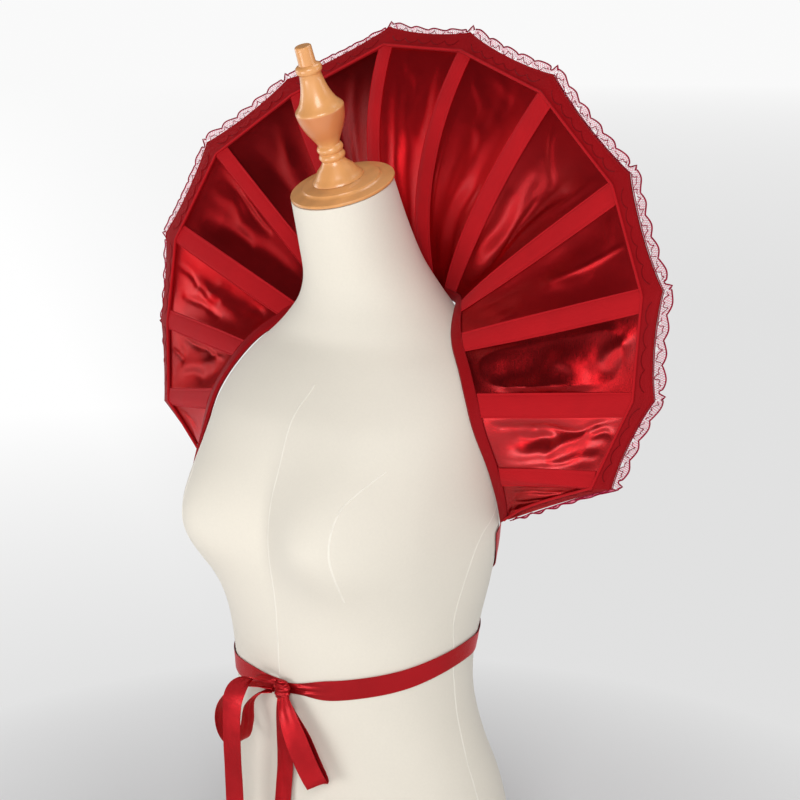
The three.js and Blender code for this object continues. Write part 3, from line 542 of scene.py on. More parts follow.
# ------------------------------------------------------------------ materials
class Finish:
    """One procedural material, built up a node at a time."""

    def __init__(self, name):
        self.material = bpy.data.materials.get(name) or bpy.data.materials.new(name)
        self.material.use_nodes = True
        self.tree = self.material.node_tree
        self.tree.nodes.clear()
        out = self.tree.nodes.new("ShaderNodeOutputMaterial")
        self.shader = self.tree.nodes.new("ShaderNodeBsdfPrincipled")
        self.link(self.shader.outputs[0], out.inputs[0])

    def node(self, kind, **values):
        node = self.tree.nodes.new(kind)
        for key, value in values.items():
            if hasattr(node, key):
                setattr(node, key, value)
            else:
                node.inputs[key.replace("_", " ")].default_value = value
        return node

    def link(self, start, end):
        self.tree.links.new(start, end)

    def feed(self, name, start):
        self.link(start, self.shader.inputs[name])

    def set(self, **values):
        for key, value in values.items():
            self.shader.inputs[key.replace("_", " ")].default_value = value

    def math(self, operation, a, b=0.0, c=0.0):
        node = self.node("ShaderNodeMath", operation=operation)
        for socket, value in zip(node.inputs, (a, b, c)):
            if isinstance(value, (int, float)):
                socket.default_value = value
            else:
                self.link(value, socket)
        return node.outputs[0]

    def coordinates(self, source="Object", scale=(1, 1, 1), turn=0.0):
        """Where a pattern reads its place: the piece's own UV map, or the object's space."""
        if source == "UV":
            start = self.node("ShaderNodeUVMap", uv_map="UVMap").outputs[0]
        else:
            start = self.node("ShaderNodeTexCoord").outputs[source]
        mapping = self.node("ShaderNodeMapping")
        mapping.inputs["Scale"].default_value = scale
        mapping.inputs["Rotation"].default_value = (0, 0, math.radians(turn))
        self.link(start, mapping.inputs["Vector"])
        return mapping.outputs[0]

    def noise(self, vector, scale, detail=3.0, roughness=0.55):
        node = self.node("ShaderNodeTexNoise", Scale=scale, Detail=detail, Roughness=roughness)
        self.link(vector, node.inputs["Vector"])
        return node.outputs["Fac"]

    def wave(self, vector, scale, direction="X", distortion=0.0):
        node = self.node("ShaderNodeTexWave", wave_type="BANDS", bands_direction=direction,
                         Scale=scale, Distortion=distortion)
        self.link(vector, node.inputs["Vector"])
        return node.outputs["Fac"]

    def spread(self, value, low, high, to_low=0.0, to_high=1.0):
        node = self.node("ShaderNodeMapRange")
        node.inputs[1].default_value = low
        node.inputs[2].default_value = high
        node.inputs[3].default_value = to_low
        node.inputs[4].default_value = to_high
        self.link(value, node.inputs[0])
        return node.outputs[0]

    def colours(self, value, *stops):
        ramp = self.node("ShaderNodeValToRGB")
        points = ramp.color_ramp.elements
        while len(points) < len(stops):
            points.new(0.5)
        for point, (place, colour) in zip(points, stops):
            point.position = place
            point.color = (*colour, 1)
        self.link(value, ramp.inputs[0])
        return ramp.outputs[0]

    def shades(self, value, colour, *stops):
        """Shades of one colour: each stop is a place and how light the colour is there."""
        return self.colours(value, *((place, shade(colour, light)) for place, light in stops))

    def vector(self, operation, start, toward=None):
        node = self.node("ShaderNodeVectorMath", operation=operation)
        self.link(start, node.inputs[0])
        if toward is not None:
            node.inputs[1].default_value = toward
        return node.outputs["Vector" if operation == "NORMALIZE" else "Value"]

    def blend(self, factor, a, b):
        node = self.node("ShaderNodeMix", data_type="RGBA", blend_type="MIX")
        sockets = [s for s in node.inputs if s.type == "RGBA"]
        for socket, value in ((node.inputs[0], factor), (sockets[0], a), (sockets[1], b)):
            if isinstance(value, (tuple, float, int)):
                socket.default_value = (*value, 1) if isinstance(value, tuple) else value
            else:
                self.link(value, socket)
        return next(s for s in node.outputs if s.type == "RGBA")

    def bump(self, height, distance, strength=1.0, under=None):
        node = self.node("ShaderNodeBump", Distance=distance, Strength=strength)
        self.link(height, node.inputs["Height"])
        if under is not None:
            self.link(under, node.inputs["Normal"])
        return node.outputs[0]


def shade(colour, factor):
    return tuple(clamp(c * factor) for c in colour)


def satin_finish(name, colour, roughness, lustre, crumpled=1.0, gloss=0.2):
    finish = Finish(name)
    base = finish.coordinates("UV")
    broad = finish.noise(base, 0.9, 3.0)
    fine = finish.noise(finish.coordinates("UV", (1, 16, 1)), 9.0, 4.0, 0.6)
    tone = finish.shades(broad, colour, (0.3, 0.78), (0.7, 1.16))
    finish.feed("Base Color",
                finish.blend(0.12, tone, finish.shades(fine, colour, (0.35, 0.7), (0.65, 1.3))))
    finish.feed("Roughness", finish.spread(fine, 0.3, 0.7, roughness - 0.04, roughness + 0.06))
    crumple = finish.bump(finish.noise(base, 8.0, 4.0), 0.0006, 0.5 * crumpled,
                          finish.bump(finish.noise(base, 3.2, 3.0), 0.0016, 0.45 * crumpled))
    threads = finish.wave(finish.coordinates("UV"), 140.0, "Y", 1.5)
    finish.feed("Normal", finish.bump(threads, 0.00006, 0.35, crumple))
    finish.set(Metallic=lustre, Specular_IOR_Level=0.35, Specular_Tint=(1, 0.3, 0.35, 1),
               Coat_Weight=gloss, Coat_Roughness=0.32)
    return finish.material


def tape_finish(name, colour, roughness):
    finish = Finish(name)
    base = finish.coordinates("UV")
    broad = finish.noise(base, 2.0, 4.0)
    twill = finish.wave(finish.coordinates("UV", (1, 1, 1), 35), 26.0, "X", 0.6)
    tone = finish.shades(broad, colour, (0.3, 0.86), (0.7, 1.1))
    lines = finish.shades(twill, colour, (0.1, 0.72), (0.8, 1.12))
    finish.feed("Base Color", finish.blend(0.35, tone, lines))
    finish.feed("Roughness", finish.spread(broad, 0.3, 0.7, roughness - 0.05, roughness + 0.05))
    finish.feed("Normal", finish.bump(twill, 0.00018, 0.6))
    finish.set(Sheen_Weight=0.08, Sheen_Roughness=0.5, Sheen_Tint=(1, 0.2, 0.24, 1),
               Specular_IOR_Level=0.25, Specular_Tint=(1, 0.25, 0.3, 1))
    return finish.material


def cover_finish(name, colour, roughness):
    finish = Finish(name)
    place = finish.coordinates("Object")
    broad = finish.noise(place, 5.0, 4.0)
    specks = finish.noise(place, 420.0, 2.0)
    tone = finish.shades(broad, colour, (0.3, 0.955), (0.7, 1.02))
    finish.feed("Base Color",
                finish.blend(0.12, tone, finish.shades(specks, colour, (0.3, 0.85), (0.7, 1.04))))
    finish.feed("Roughness", finish.spread(specks, 0.3, 0.7, roughness - 0.05, roughness + 0.05))
    knit = finish.bump(finish.noise(place, 900.0, 2.0), 0.0002, 0.25)
    finish.feed("Normal", finish.bump(finish.noise(place, 16.0, 2.0), 0.0008, 0.15, knit))
    finish.set(Sheen_Weight=0.15, Sheen_Roughness=0.5, Specular_IOR_Level=0.3)
    return finish.material


# The finial's axis and, along it, where the painted shade on its urn fades in and out, in metres.
FINIAL_AXIS = (0, -0.3584, 0.9336)
URN_SHADE = (0.731, 0.742, 0.7662, 0.7650)
URN_SHADE_TINT = (0.78, 0.5, 0.5)


def turned_wood_finish(name, colour, roughness):
    finish = Finish(name)
    grain = finish.coordinates("Object", (1, 1, 0.12))
    rings = finish.wave(grain, 18.0, "X", 5.0)
    pores = finish.noise(finish.coordinates("Object", (1, 1, 0.05)), 260.0, 4.0, 0.6)
    tone = finish.shades(rings, colour, (0.15, 0.96), (0.85, 1.03))
    fine = finish.blend(0.1, tone, finish.shades(pores, colour, (0.35, 0.7), (0.6, 1.05)))
    # Painted shade: the urn below the finial's widest part is darkened where less light falls on
    # it.
    reach = finish.vector("DOT_PRODUCT", finish.coordinates("Object"), FINIAL_AXIS)
    urn_shade = finish.math("MULTIPLY", finish.spread(reach, *URN_SHADE[:2]), finish.spread(reach, *URN_SHADE[2:]))
    urn_shade_colour = tuple(c * tint for c, tint in zip(colour, URN_SHADE_TINT))
    finish.feed("Base Color", finish.blend(finish.math("MULTIPLY", urn_shade, 0.7), fine, urn_shade_colour))
    finish.feed("Roughness", finish.spread(pores, 0.3, 0.7, roughness - 0.03, roughness + 0.06))
    finish.feed("Normal", finish.bump(pores, 0.0001, 0.2))
    finish.set(Coat_Weight=0.35, Coat_Roughness=0.15, Specular_IOR_Level=0.5)
    return finish.material


def thread_finish(name, colour, roughness):
    finish = Finish(name)
    place = finish.coordinates("Object")
    tone = finish.noise(place, 300.0, 2.0)
    finish.feed("Base Color", finish.shades(tone, colour, (0.3, 0.75), (0.7, 1.2)))
    finish.feed("Roughness", finish.spread(tone, 0.3, 0.7, roughness - 0.05, roughness + 0.05))
    finish.feed("Normal", finish.bump(finish.noise(place, 1200.0, 2.0), 0.0002, 0.4))
    finish.set(Specular_IOR_Level=0.1)
    return finish.material


def floor_finish(colour):
    """A pale floor that fades into the backdrop all round."""
    finish = Finish("Pale floor")
    place = finish.coordinates("Object")
    away = finish.vector("LENGTH", place)
    heading = finish.vector("NORMALIZE", place)
    finish.feed("Base Color",
                finish.shades(finish.noise(place, 0.4), colour, (0.3, 0.98), (0.7, 1.0)))
    finish.set(Roughness=0.95, Specular_IOR_Level=0.05)
    glow = finish.node("ShaderNodeEmission", Color=(1, 1, 1, 1))
    aside = finish.vector("DOT_PRODUCT", heading, FLOOR["shade_toward"])
    side = finish.spread(aside, -0.28, 0.12, 1.0, FLOOR["shaded"])
    near = finish.spread(away, *FLOOR["near"])
    level = finish.math("ADD", finish.math("MULTIPLY", side, near),
                        finish.spread(away, *FLOOR["near"], FLOOR["near_level"], 0.0))
    # The satin mirrors a dim side of the floor; seen straight on, the floor is pale all round.
    front = finish.vector("DOT_PRODUCT", heading, FLOOR["dim_toward"])
    dim = finish.spread(front, 0.955, 0.992, 1.0, FLOOR["dim"])
    seen = finish.node("ShaderNodeLightPath").outputs["Is Camera Ray"]
    level = finish.math("MULTIPLY", level, finish.math("MAXIMUM", dim, seen))
    far = finish.spread(away, *FLOOR["far"])
    lift = finish.math("MULTIPLY", finish.math("SUBTRACT", BACKDROP, level), far)
    finish.link(finish.math("ADD", level, lift), glow.inputs["Strength"])
    both = finish.node("ShaderNodeMixShader")
    finish.link(finish.spread(away, *FLOOR["lit"]), both.inputs[0])
    finish.link(finish.shader.outputs[0], both.inputs[1])
    finish.link(glow.outputs[0], both.inputs[2])
    finish.link(both.outputs[0], finish.tree.nodes["Material Output"].inputs[0])
    return finish.material


# ------------------------------------------------------------------ settings
def colour_setting(name, description, default):
    return FloatVectorProperty(name=name, description=description, subtype="COLOR", size=3,
                               min=0, max=1, default=default)


class FormSettings(bpy.types.PropertyGroup):
    cover_colour: colour_setting(
        "Cover colour", "Colour of the form's cloth cover", (0.74, 0.69, 0.60))
    wood_colour: colour_setting(
        "Wood colour", "Colour of the turned neck cap and finial", (0.72, 0.335, 0.115))
    sides: IntProperty(
        name="Sides", description="Cells round the form's cover", default=112, min=24, max=240)
    seam_width: FloatProperty(
        name="Seam width", description="Width of a seam line on the cover", default=0.0026,
        unit="LENGTH", min=0.0004, max=0.003)
    seam_colour: colour_setting(
        "Seam colour", "Colour of the seam lines on the cover", (0.82, 0.775, 0.69))


class CollarSettings(bpy.types.PropertyGroup):
    satin_colour: colour_setting("Satin colour", "Colour of the gores", (0.42, 0.0055, 0.0090))
    tape_colour: colour_setting(
        "Tape colour", "Colour of the casing tapes", (0.43, 0.0085, 0.0125))
    trim_colour: colour_setting(
        "Trim colour", "Colour of the rim band and the binding", (0.26, 0.0028, 0.005))
    ribbon_colour: colour_setting(
        "Ribbon colour", "Colour of the ties and the bow", (0.46, 0.0080, 0.0130))
    crease: FloatProperty(
        name="Crease", description="Height of the small creases in the satin", default=0.0009,
        unit="LENGTH", min=0, max=0.004)


class LaceSettings(bpy.types.PropertyGroup):
    net_colour: colour_setting("Net colour", "Colour of the lace's net", (0.76, 0.13, 0.24))
    thread_colour: colour_setting(
        "Thread colour", "Colour of the lace's outline and sprigs", (0.27, 0.004, 0.028))
    mesh_size: FloatProperty(
        name="Mesh size", description="Width of one mesh of the net", default=0.0017,
        unit="LENGTH", min=0.001, max=0.005)


class StageSettings(bpy.types.PropertyGroup):
    floor_colour: colour_setting(
        "Floor colour", "Colour of the floor and backdrop", (0.86, 0.86, 0.87))
    key_power: FloatProperty(
        name="Key light", description="Power of the main soft light", default=44.0, min=0,
        max=500, subtype="POWER")
    room_light: FloatProperty(
        name="Room light", description="Strength of the even light all round", default=0.09,
        min=0, max=2)


# ------------------------------------------------------------------ the dress form
class COLLAR_OT_dress_form(bpy.types.Operator):
    """Make the padded cover of the dress form and its seam lines"""
    bl_idname = "collar.dress_form"
    bl_label = "Dress form"

    def execute(self, context):
        settings = context.scene.collar_form
        sides = settings.sides
        heights = [FORM_HEIGHT * k / FORM_ROWS for k in range(FORM_ROWS + 1)]
        verts, uvs = [], []
        for height in heights:
            for s in range(sides):
                turn = 180 - 360 * s / sides
                verts.append(form_point(turn, height) * MM)
                uvs.append((turn / 100, height / 100))
        cover = solid_mesh("form_cover", verts, uvs, ring_faces(FORM_ROWS, sides), 50)
        finish_piece(cover, cover_finish("Form cover", settings.cover_colour, 0.72), "form_cloth",
                     "dress_form")
        threads = []
        for name, route in SEAMS.items():
            table = Table(("height", "turn"), [(-height, turn) for turn, height in route])
            low, high = -route[0][1], -route[-1][1]
            heights = [mix(low, high, k / SEAM_STEPS) for k in range(SEAM_STEPS + 1)]
            for way in ((1,) if name == "centre" else (1, -1)):
                line = [off_form(way * table.at(h, "turn")[0], -h, SEAM_LIFT) for h in heights]
                threads.append(tube(line, settings.seam_width / MM / 2, 6))
        seams = gather_threads("form_seams", threads)
        finish_piece(seams, cover_finish("Form seam", settings.seam_colour, 0.6), "form_cloth")
        return {"FINISHED"}


def turned_piece(name, profile, aside=0):
    """A turned piece, drawn up ring by ring from a disc and then set on its leaning axis."""
    bpy.ops.object.select_all(action="DESELECT")
    radius, height = profile[0]
    bpy.ops.mesh.primitive_circle_add(vertices=CAP_SIDES, radius=radius * MM, fill_type="NGON",
                                      location=(aside * MM, 0, height * MM))
    piece = bpy.context.object
    piece.name = piece.data.name = name
    bpy.ops.object.transform_apply(location=True, rotation=True, scale=True)
    bpy.ops.object.mode_set(mode="EDIT")
    bpy.ops.mesh.select_all(action="SELECT")
    for next_radius, next_height in profile[1:]:
        bpy.ops.mesh.extrude_region_move(
            TRANSFORM_OT_translate={"value": (0, 0, (next_height - height) * MM)})
        scale = next_radius / radius
        bpy.ops.transform.resize(value=(scale, scale, 1),
                                 center_override=(aside * MM, 0, next_height * MM))
        radius, height = next_radius, next_height
    bpy.ops.mesh.select_all(action="SELECT")
    bpy.ops.mesh.normals_make_consistent(inside=False)
    bpy.ops.object.mode_set(mode="OBJECT")
    piece.rotation_euler = (math.radians(CAP_TILT), 0, 0)
    piece.location = Vector(CAP_PLACE) * MM
    bpy.ops.object.transform_apply(location=True, rotation=True, scale=True)
    tidy_normals(piece, 35)
    return piece


class COLLAR_OT_turned_neck(bpy.types.Operator):
    """Turn the wooden neck cap and its finial"""
    bl_idname = "collar.turned_neck"
    bl_label = "Neck cap and finial"

    def execute(self, context):
        wood = turned_wood_finish("Turned wood", context.scene.collar_form.wood_colour, 0.32)
        cap = turned_piece("cap_turned", CAP_PROFILE)
        finish_piece(cap, wood, "turned_wood", "neck_cap")
        finial = turned_piece("finial_turned", FINIAL_PROFILE, FINIAL_ASIDE)
        finish_piece(finial, wood, "turned_wood", "neck_finial")
        return {"FINISHED"}


# ------------------------------------------------------------------ the satin gores
def declare_gore(gore):
    """Sorts the gore's two bones by length and does nothing more with them."""
    short, long = sorted(gore.sides, key=lambda bone: bone.length)


def gore_piece(number, crease):
    gore = GORES[number]
    rows, columns = GORE_ROWS, GORE_COLUMNS
    widest = max(gore.width(k / 8) for k in range(9))
    longest = max(gore.length(0), gore.length(1))
    reliefs = {}

    def at(i, j, side):
        along = i / rows
        inset = SEAM_GAP / 2 / gore.width(along)
        across = mix(inset, 1 - inset, j / columns)
        edge = gore.room(across, along)
        spot = Vector((across * widest / 38, along * longest / 120, number * 7.3))
        small = noise.noise(spot) * 0.9 + noise.noise(spot * 2.3) * 0.4
        if (i, j) not in reliefs:
            reliefs[i, j] = (gore.relief(across, along) + gore.crease(across, along)
                             + small * edge * crease / MM)
        return gore.point(across, along, (SKIN if side else -SKIN), reliefs[i, j])

    def uv(i, j):
        return (j / columns * widest / 100, i / rows * longest / 100)

    return cloth_mesh(f"gore_satin_{number:02d}", rows, columns, at, uv)


class COLLAR_OT_gores(bpy.types.Operator):
    """Cut and hang the satin gores between the bones"""
    bl_idname = "collar.gores"
    bl_label = "Satin gores"

    def execute(self, context):
        settings = context.scene.collar
        # Painted light and shade: each gore's material is a lighter or darker copy of the one satin
        # colour.
        for number, tone, roughness, crumpled, gloss in GORE_LOOKS:
            satin = satin_finish(f"Crimson satin painted light {number:02d}", shade(settings.satin_colour, tone),
                                 roughness, 0.93, crumpled, gloss)
            piece = gore_piece(number, settings.crease)
            finish_piece(piece, satin, "satin", f"gore_{number:02d}")
            declare_gore(GORES[number])
        return {"FINISHED"}


# ------------------------------------------------------------------ tapes, band and binding
def laid_strip(name, rows, stations, spot, uv):
    """A folded strip laid on the collar: stations hold how far aside, front lift and back lift."""
    return cloth_mesh(name, rows, len(stations) - 1,
                      lambda i, j, side: spot(i, stations[j][0], stations[j][1 + side]), uv)


def tape_piece(i):
    """The casing tape over bone i, crowned by the bone and sewn down along both edges."""
    rows = TAPE_ROWS
    crown = [(-1, 0.05, 0.75), (-0.96, 0, 1.15), (-0.86, 0, 1.05), (-0.8, 0, 0.78), (-0.74, 0, 1.1),
             (-0.5, 0, 1.35), (-0.25, 0, 1.6), (0, 0, 1.7), (0.25, 0, 1.6), (0.5, 0, 1.35),
             (0.74, 0, 1.1), (0.8, 0, 0.78), (0.86, 0, 1.05), (0.96, 0, 1.15), (1, 0.05, 0.75)]
    bone = BONES[i]
    low = (binding_width(bone.length) + SEAM_GAP) / bone.length
    high = 1 - (band_width(bone.length) - 1.5) / bone.length

    def spot(row, aside, lift):
        along = mix(low, high, row / rows)
        gore = GORES[i] if aside < 0 else GORES[i + 1]
        edge = gore.free_across(along)[1 if aside < 0 else 0]
        across = 1 + (1 - edge) * aside if aside < 0 else edge * aside
        wander = 0.12 * noise.noise(Vector((row / rows * 9, aside * 2, i * 3.1)))
        return gore.point(across, along, LAID_ON + lift + (wander if lift else 0), relief=0)

    def uv(row, j):
        return (crown[j][0] * RIBS[i][7] / 200, mix(low, high, row / rows) * bone.length / 100)

    return laid_strip(f"casing_tape_{i:02d}", rows, crown, spot, uv), bone.length * (high - low)


class COLLAR_OT_casing_tapes(bpy.types.Operator):
    """Lay the casing tapes over the bones"""
    bl_idname = "collar.casing_tapes"
    bl_label = "Casing tapes"

    def execute(self, context):
        tape = tape_finish("Casing tape", context.scene.collar.tape_colour, 0.78)
        for i in range(1, LAST_RIB):
            piece, length = tape_piece(i)
            finish_piece(piece, tape, "casing_tape", f"bone_tape_{i:02d}")
        return {"FINISHED"}


def edge_places():
    """Places from one end of the collar to the other, each a gore and how far across it."""
    places = [(1, 0.0)]
    for number in range(1, LAST_RIB + 1):
        places += [(number, k / EDGE_STEPS) for k in range(1, EDGE_STEPS + 1)]
    return places


def band_point(number, across, inward, lift):
    """A point on the rim band, inward from the rim as a share of the band's width."""
    gore = GORES[number]
    along = 1 - inward * (1 - gore.free_along(across)[1])
    return gore.point(across, along, LAID_ON + lift, relief=0)


def run_lengths(points):
    total, found = 0.0, [0.0]
    for a, b in zip(points, points[1:]):
        total += (b - a).length
        found.append(total)
    return found


def rim_band_piece():
    """The band along the rim, with a raised fold along its inner edge."""
    places = edge_places()
    rim = [GORES[g].point(a, 1, 0, relief=0) for g, a in places]
    ways = run_lengths(rim)
    section = [(1.03, 0, 0.9), (1.02, 0, 2.1), (0.985, 0, 3.0), (0.94, 0, 3.2), (0.895, 0, 2.6),
               (0.87, 0, 1.3), (0.84, 0, 1.05), (0.6, 0, 1.45), (0.35, 0, 1.4), (0.14, 0, 1.3),
               (0.1, 0, 0.95), (0.06, 0, 1.25), (0.01, 0, 1.25), (-0.005, 0.05, 0.8)]

    def spot(i, inward, lift):
        return band_point(*places[i], inward, lift)

    def uv(i, j):
        return (section[j][0] * RIM_BAND_WIDTH / 100, ways[i] / 100)

    return laid_strip("rim_band_cloth", len(places) - 1, section, spot, uv), ways[-1]


def fold_piece():
    """The narrow raised fold along the band's inner edge."""
    line = [band_point(*place, 0.95, 2.0) for place in edge_places()]
    return gather_threads("rim_band_fold", [tube(line, THREADS["fold"], 8)])


def heading_piece():
    """The lace's heading, which shows as a raised scalloped line on the rim band."""
    threads = []
    for number in range(1, LAST_RIB + 1):
        count = max(2, round(GORES[number].width(1) / LACE["pitch"]))
        line = []
        for k in range(12 * count + 1):
            across = mix(0.08, 0.92, k / (12 * count))
            inward = 0.42 + 0.24 * abs(math.sin(math.pi * k / 12)) ** 0.7
            line.append(band_point(number, across, inward, 1.3))
        threads.append(tube(line, THREADS["heading"], 5))
    return gather_threads("rim_band_heading", threads)


def binding_piece():
    """The binding folded round the inner edge: a front leg, the fold and a back leg."""
    places = edge_places()
    edge = [GORES[g].point(a, 0, 0, relief=0) for g, a in places]
    ways = run_lengths(edge)
    legs = [(1, 0, 0.5, 1), (0.97, 0, 1.1, 1), (0.88, 0, 0.85, 1), (0.8, 0, 1.15, 1),
            (0.45, 0, 1.35, 1), (0.1, 0, 1.35, 1), (0, 0, 1.2, 1), (-0.06, 0, 1.2, 0.55),
            (-0.08, 0, 1.2, 0), (-0.06, 0, 1.2, -0.55), (0, 0, 1.2, -1), (0.3, 0, 1.2, -1),
            (0.8, 0, 1.2, -1), (1, 0, 0.6, -1)]

    def at(i, j, side):
        number, across = places[i]
        gore = GORES[number]
        length = gore.length(across)
        inward, inner, outer, facing = legs[j]
        lift = LAID_ON + BINDING_EASE + (outer if side else inner)
        along = max(inward, 0) * binding_width(length) / length
        point = gore.point(across, along, lift * facing, relief=0)
        if inward <= 0:
            edge_point = gore.point(across, 0, 0, relief=0)
            out = (gore.point(across, 0.05, 0, relief=0) - edge_point).normalized()
            reach = (SEAM_GAP + BINDING_EASE + (outer if side else 0)) * BINDING_REACH
            point -= out * reach * (1 - abs(facing) * 0.75)
        return point

    def uv(i, j):
        return (j * 1.6 / 100, ways[i] / 100)

    piece = cloth_mesh("inner_binding_cloth", len(places) - 1, len(legs) - 1, at, uv)
    return piece, ways[-1]


class COLLAR_OT_rim_and_binding(bpy.types.Operator):
    """Lay the rim band and fold the binding round the inner edge"""
    bl_idname = "collar.rim_and_binding"
    bl_label = "Rim band and binding"

    def execute(self, context):
        trim = tape_finish("Folded trim", context.scene.collar.trim_colour, 0.6)
        band, length = rim_band_piece()
        finish_piece(band, trim, "trim", "rim_band")
        # Painted shade: the heading is the band's own cloth, shown darker to stand in for the shade
        # along its raised line.
        heading_shade = tape_finish("Heading line painted shade", shade(context.scene.collar.trim_colour, 0.62), 0.6)
        finish_piece(heading_piece(), heading_shade, "trim")
        # Painted highlight: the band's raised fold takes the lighter tape colour, standing in for
        # the light its ridge catches.
        finish_piece(fold_piece(), bpy.data.materials["Casing tape"], "trim")
        binding, length = binding_piece()
        finish_piece(binding, trim, "trim", "inner_binding")
        return {"FINISHED"}


# ------------------------------------------------------------------ the lace
class LaceRun:
    """One length of lace along the rim of a gore."""

    def __init__(self, number):
        self.number = number
        self.valley, self.crest, self.behind = LACE_REACH[number - 1]
        self.gore = GORES[number]
        self.start = SEAM_GAP / 2
        self.length = (self.gore.sides[1].tip - self.gore.sides[0].tip).length
        self.end = self.length - self.start
        self.count = max(2, round((self.length - LACE["point_width"]) / LACE["pitch"]))
        self.pitch = (self.end - LACE["point_width"]) / self.count
        self.outward = (self.gore.sides[0].tangent(1), self.gore.sides[1].tangent(1))

    def reach(self, x):
        if x < LACE["point_width"]:
            peak = 1 - abs(x - 0.3 * LACE["point_width"]) / (0.34 * LACE["point_width"])
            return mix(0.62 * self.valley, LACE["point_reach"], clamp(peak))
        way = ((x - LACE["point_width"]) / self.pitch) % 1
        return mix(self.valley, self.crest, max(math.sin(math.pi * way), 0) ** 0.7)

    def point(self, x, y, lift):
        across = clamp(x / self.length)
        outward = self.outward[0].lerp(self.outward[1], across).normalized()
        wave = LACE["ripple"] * math.sin(2 * math.pi * x / LACE["pitch"]) * max(0, y / self.crest)
        along = 1 + min(y, 0) / self.gore.length(across)
        point = self.gore.point(across, along, wave - SKIN - self.behind - lift, relief=0)
        return point + outward * max(y, 0)


def tube(path, radius, sides=5):
    """A closed round thread along a path, as verts and faces in millimetres."""
    verts = []
    last = len(path) - 1
    for k, point in enumerate(path):
        ahead = (path[min(k + 1, last)] - path[max(k - 1, 0)]).normalized()
        side = ahead.orthogonal() if k == 0 else side - ahead * side.dot(ahead)
        side = side.normalized()
        other = ahead.cross(side)
        for s in range(sides):
            angle = 2 * math.pi * s / sides
            verts.append(point + (side * math.cos(angle) + other * math.sin(angle)) * radius)
    return verts, ring_faces(last, sides)


def gather_threads(name, threads):
    """Joins closed threads into one piece."""
    verts, faces = [], []
    for thread_verts, thread_faces in threads:
        start = len(verts)
        verts += [v * MM for v in thread_verts]
        faces += [[start + v for v in face] for face in thread_faces]
    return solid_mesh(name, verts, [(v.x * 10, v.z * 10) for v in verts], faces, 60)


def lace_threads(run, mesh_size):
    """The net's threads, the scalloped outline and the sprigs of one length of lace."""
    net, outline = [], []
    step = mesh_size
    floor = LACE["bar"] - 2.2
    tilt = 0.55
    for slope in (tilt, -tilt):
        k = -20
        while True:
            base = k * step * 1.25
            if base > run.end + 16:
                break
            line = []
            for n in range(27):
                y = floor + n * 0.75
                x = base + slope * (y - floor)
                gap = max(0, math.sin(x / 3.9 + run.number) + 0.4 * math.sin(x / 1.7))
                low = floor - 1 + 3.6 * gap
                if run.start < x < run.end and low < y < run.reach(x) - 0.1:
                    line.append(run.point(x, y, 0.5))
            if len(line) > 2:
                net.append(tube(line[::2] + ([line[-1]] if len(line) % 2 == 0 else []),
                                THREADS["net"], 3))
            k += 1
    edge = []
    count = int(run.length / 1.3)
    for n in range(count + 1):
        x = mix(run.start, run.end, n / count)
        edge.append(run.point(x, run.reach(x), 0.5))
    outline.append(tube(edge, THREADS["outline"], 5))
    foot = [run.point(mix(run.start, run.end, n / 40), LACE["bar"] - 1.4, 0.4) for n in range(41)]
    outline.append(tube(foot, THREADS["foot"], 5))
    for k in range(run.count):
        left = LACE["point_width"] + k * run.pitch
        sprig = []
        for n in range(31):
            way = n / 30
            x = left + run.pitch * (0.06 + 0.88 * way + 0.03 * math.sin(way * 23 + k))
            high = 0.4 + 0.2 * math.sin(way * 9 + 2 * k) + 0.13 * math.sin(way * 21 + k)
            sprig.append(run.point(x, run.reach(x) * high, 0.3))
        outline.append(tube(sprig, THREADS["sprig"], 4))
    return net, outline


class COLLAR_OT_lace_edging(bpy.types.Operator):
    """Make the scalloped lace beyond the rim"""
    bl_idname = "collar.lace_edging"
    bl_label = "Lace edging"

    def execute(self, context):
        settings = context.scene.collar_lace
        net_thread = thread_finish("Lace net", settings.net_colour, 0.8)
        cord_thread = thread_finish("Lace cord", settings.thread_colour, 0.6)
        for number in range(1, LAST_RIB + 1):
            run = LaceRun(number)
            net, outline = lace_threads(run, settings.mesh_size / MM)
            mesh = gather_threads(f"lace_net_{number:02d}", net)
            finish_piece(mesh, net_thread, "lace", f"lace_{number:02d}")
            cord = gather_threads(f"lace_cord_{number:02d}", outline)
            finish_piece(cord, cord_thread, "lace")
        return {"FINISHED"}


# ------------------------------------------------------------------ the ties and the bow
def ribbon_uv(columns, ways):
    return lambda i, j: (j / columns * RIBBON_WIDTH / 100, ways[i] / 100)


def tie_piece(side_name, route):
    table = placed(TIE_COLUMNS, route)
    columns = 10
    rows = (len(route) - 1) * RIBBON_STEPS
    middle = [off_form(*table.at(i / RIBBON_STEPS, "turn", "height"), 1.4) for i in range(rows + 1)]
    ways = run_lengths(middle)

    def at(i, j, side):
        place = i / RIBBON_STEPS
        turn, height, lift = table.at(place, "turn", "height", "lift")
        around, up, out = form_frame(turn, height)
        step = 0.02
        ahead_turn, ahead_height = (
            b - a for a, b in zip(table.at(place - step, "turn", "height"),
                                  table.at(place + step, "turn", "height")))
        ahead = around * ahead_turn + up * ahead_height
        near = 1 - ease((ways[-1] - ways[i]) / TIE_NARROWING, 0.1, 1)
        edge = (j / columns - 0.5) * mix(1, TIE_AT_KNOT[side_name], near)
        aside = out.cross(ahead).normalized() * (edge * RIBBON_WIDTH)
        there = (turn + aside.dot(around) / around.length_squared,
                 height + aside.dot(up) / up.length_squared)
        ripple = (0.25 * noise.noise(Vector((ways[i] / 30, j * 0.25, 4.0)))
                  + near * 0.9 * math.cos(edge * 22 + place))
        return off_form(*there, TIE_CLEAR + lift + 0.25 + ripple * (0 if side == 0 else 1)
                        + side * (RIBBON - 0.35))

    piece = cloth_mesh(f"tie_ribbon_{side_name}", rows, columns, at, ribbon_uv(columns, ways))
    return piece, ways[-1]


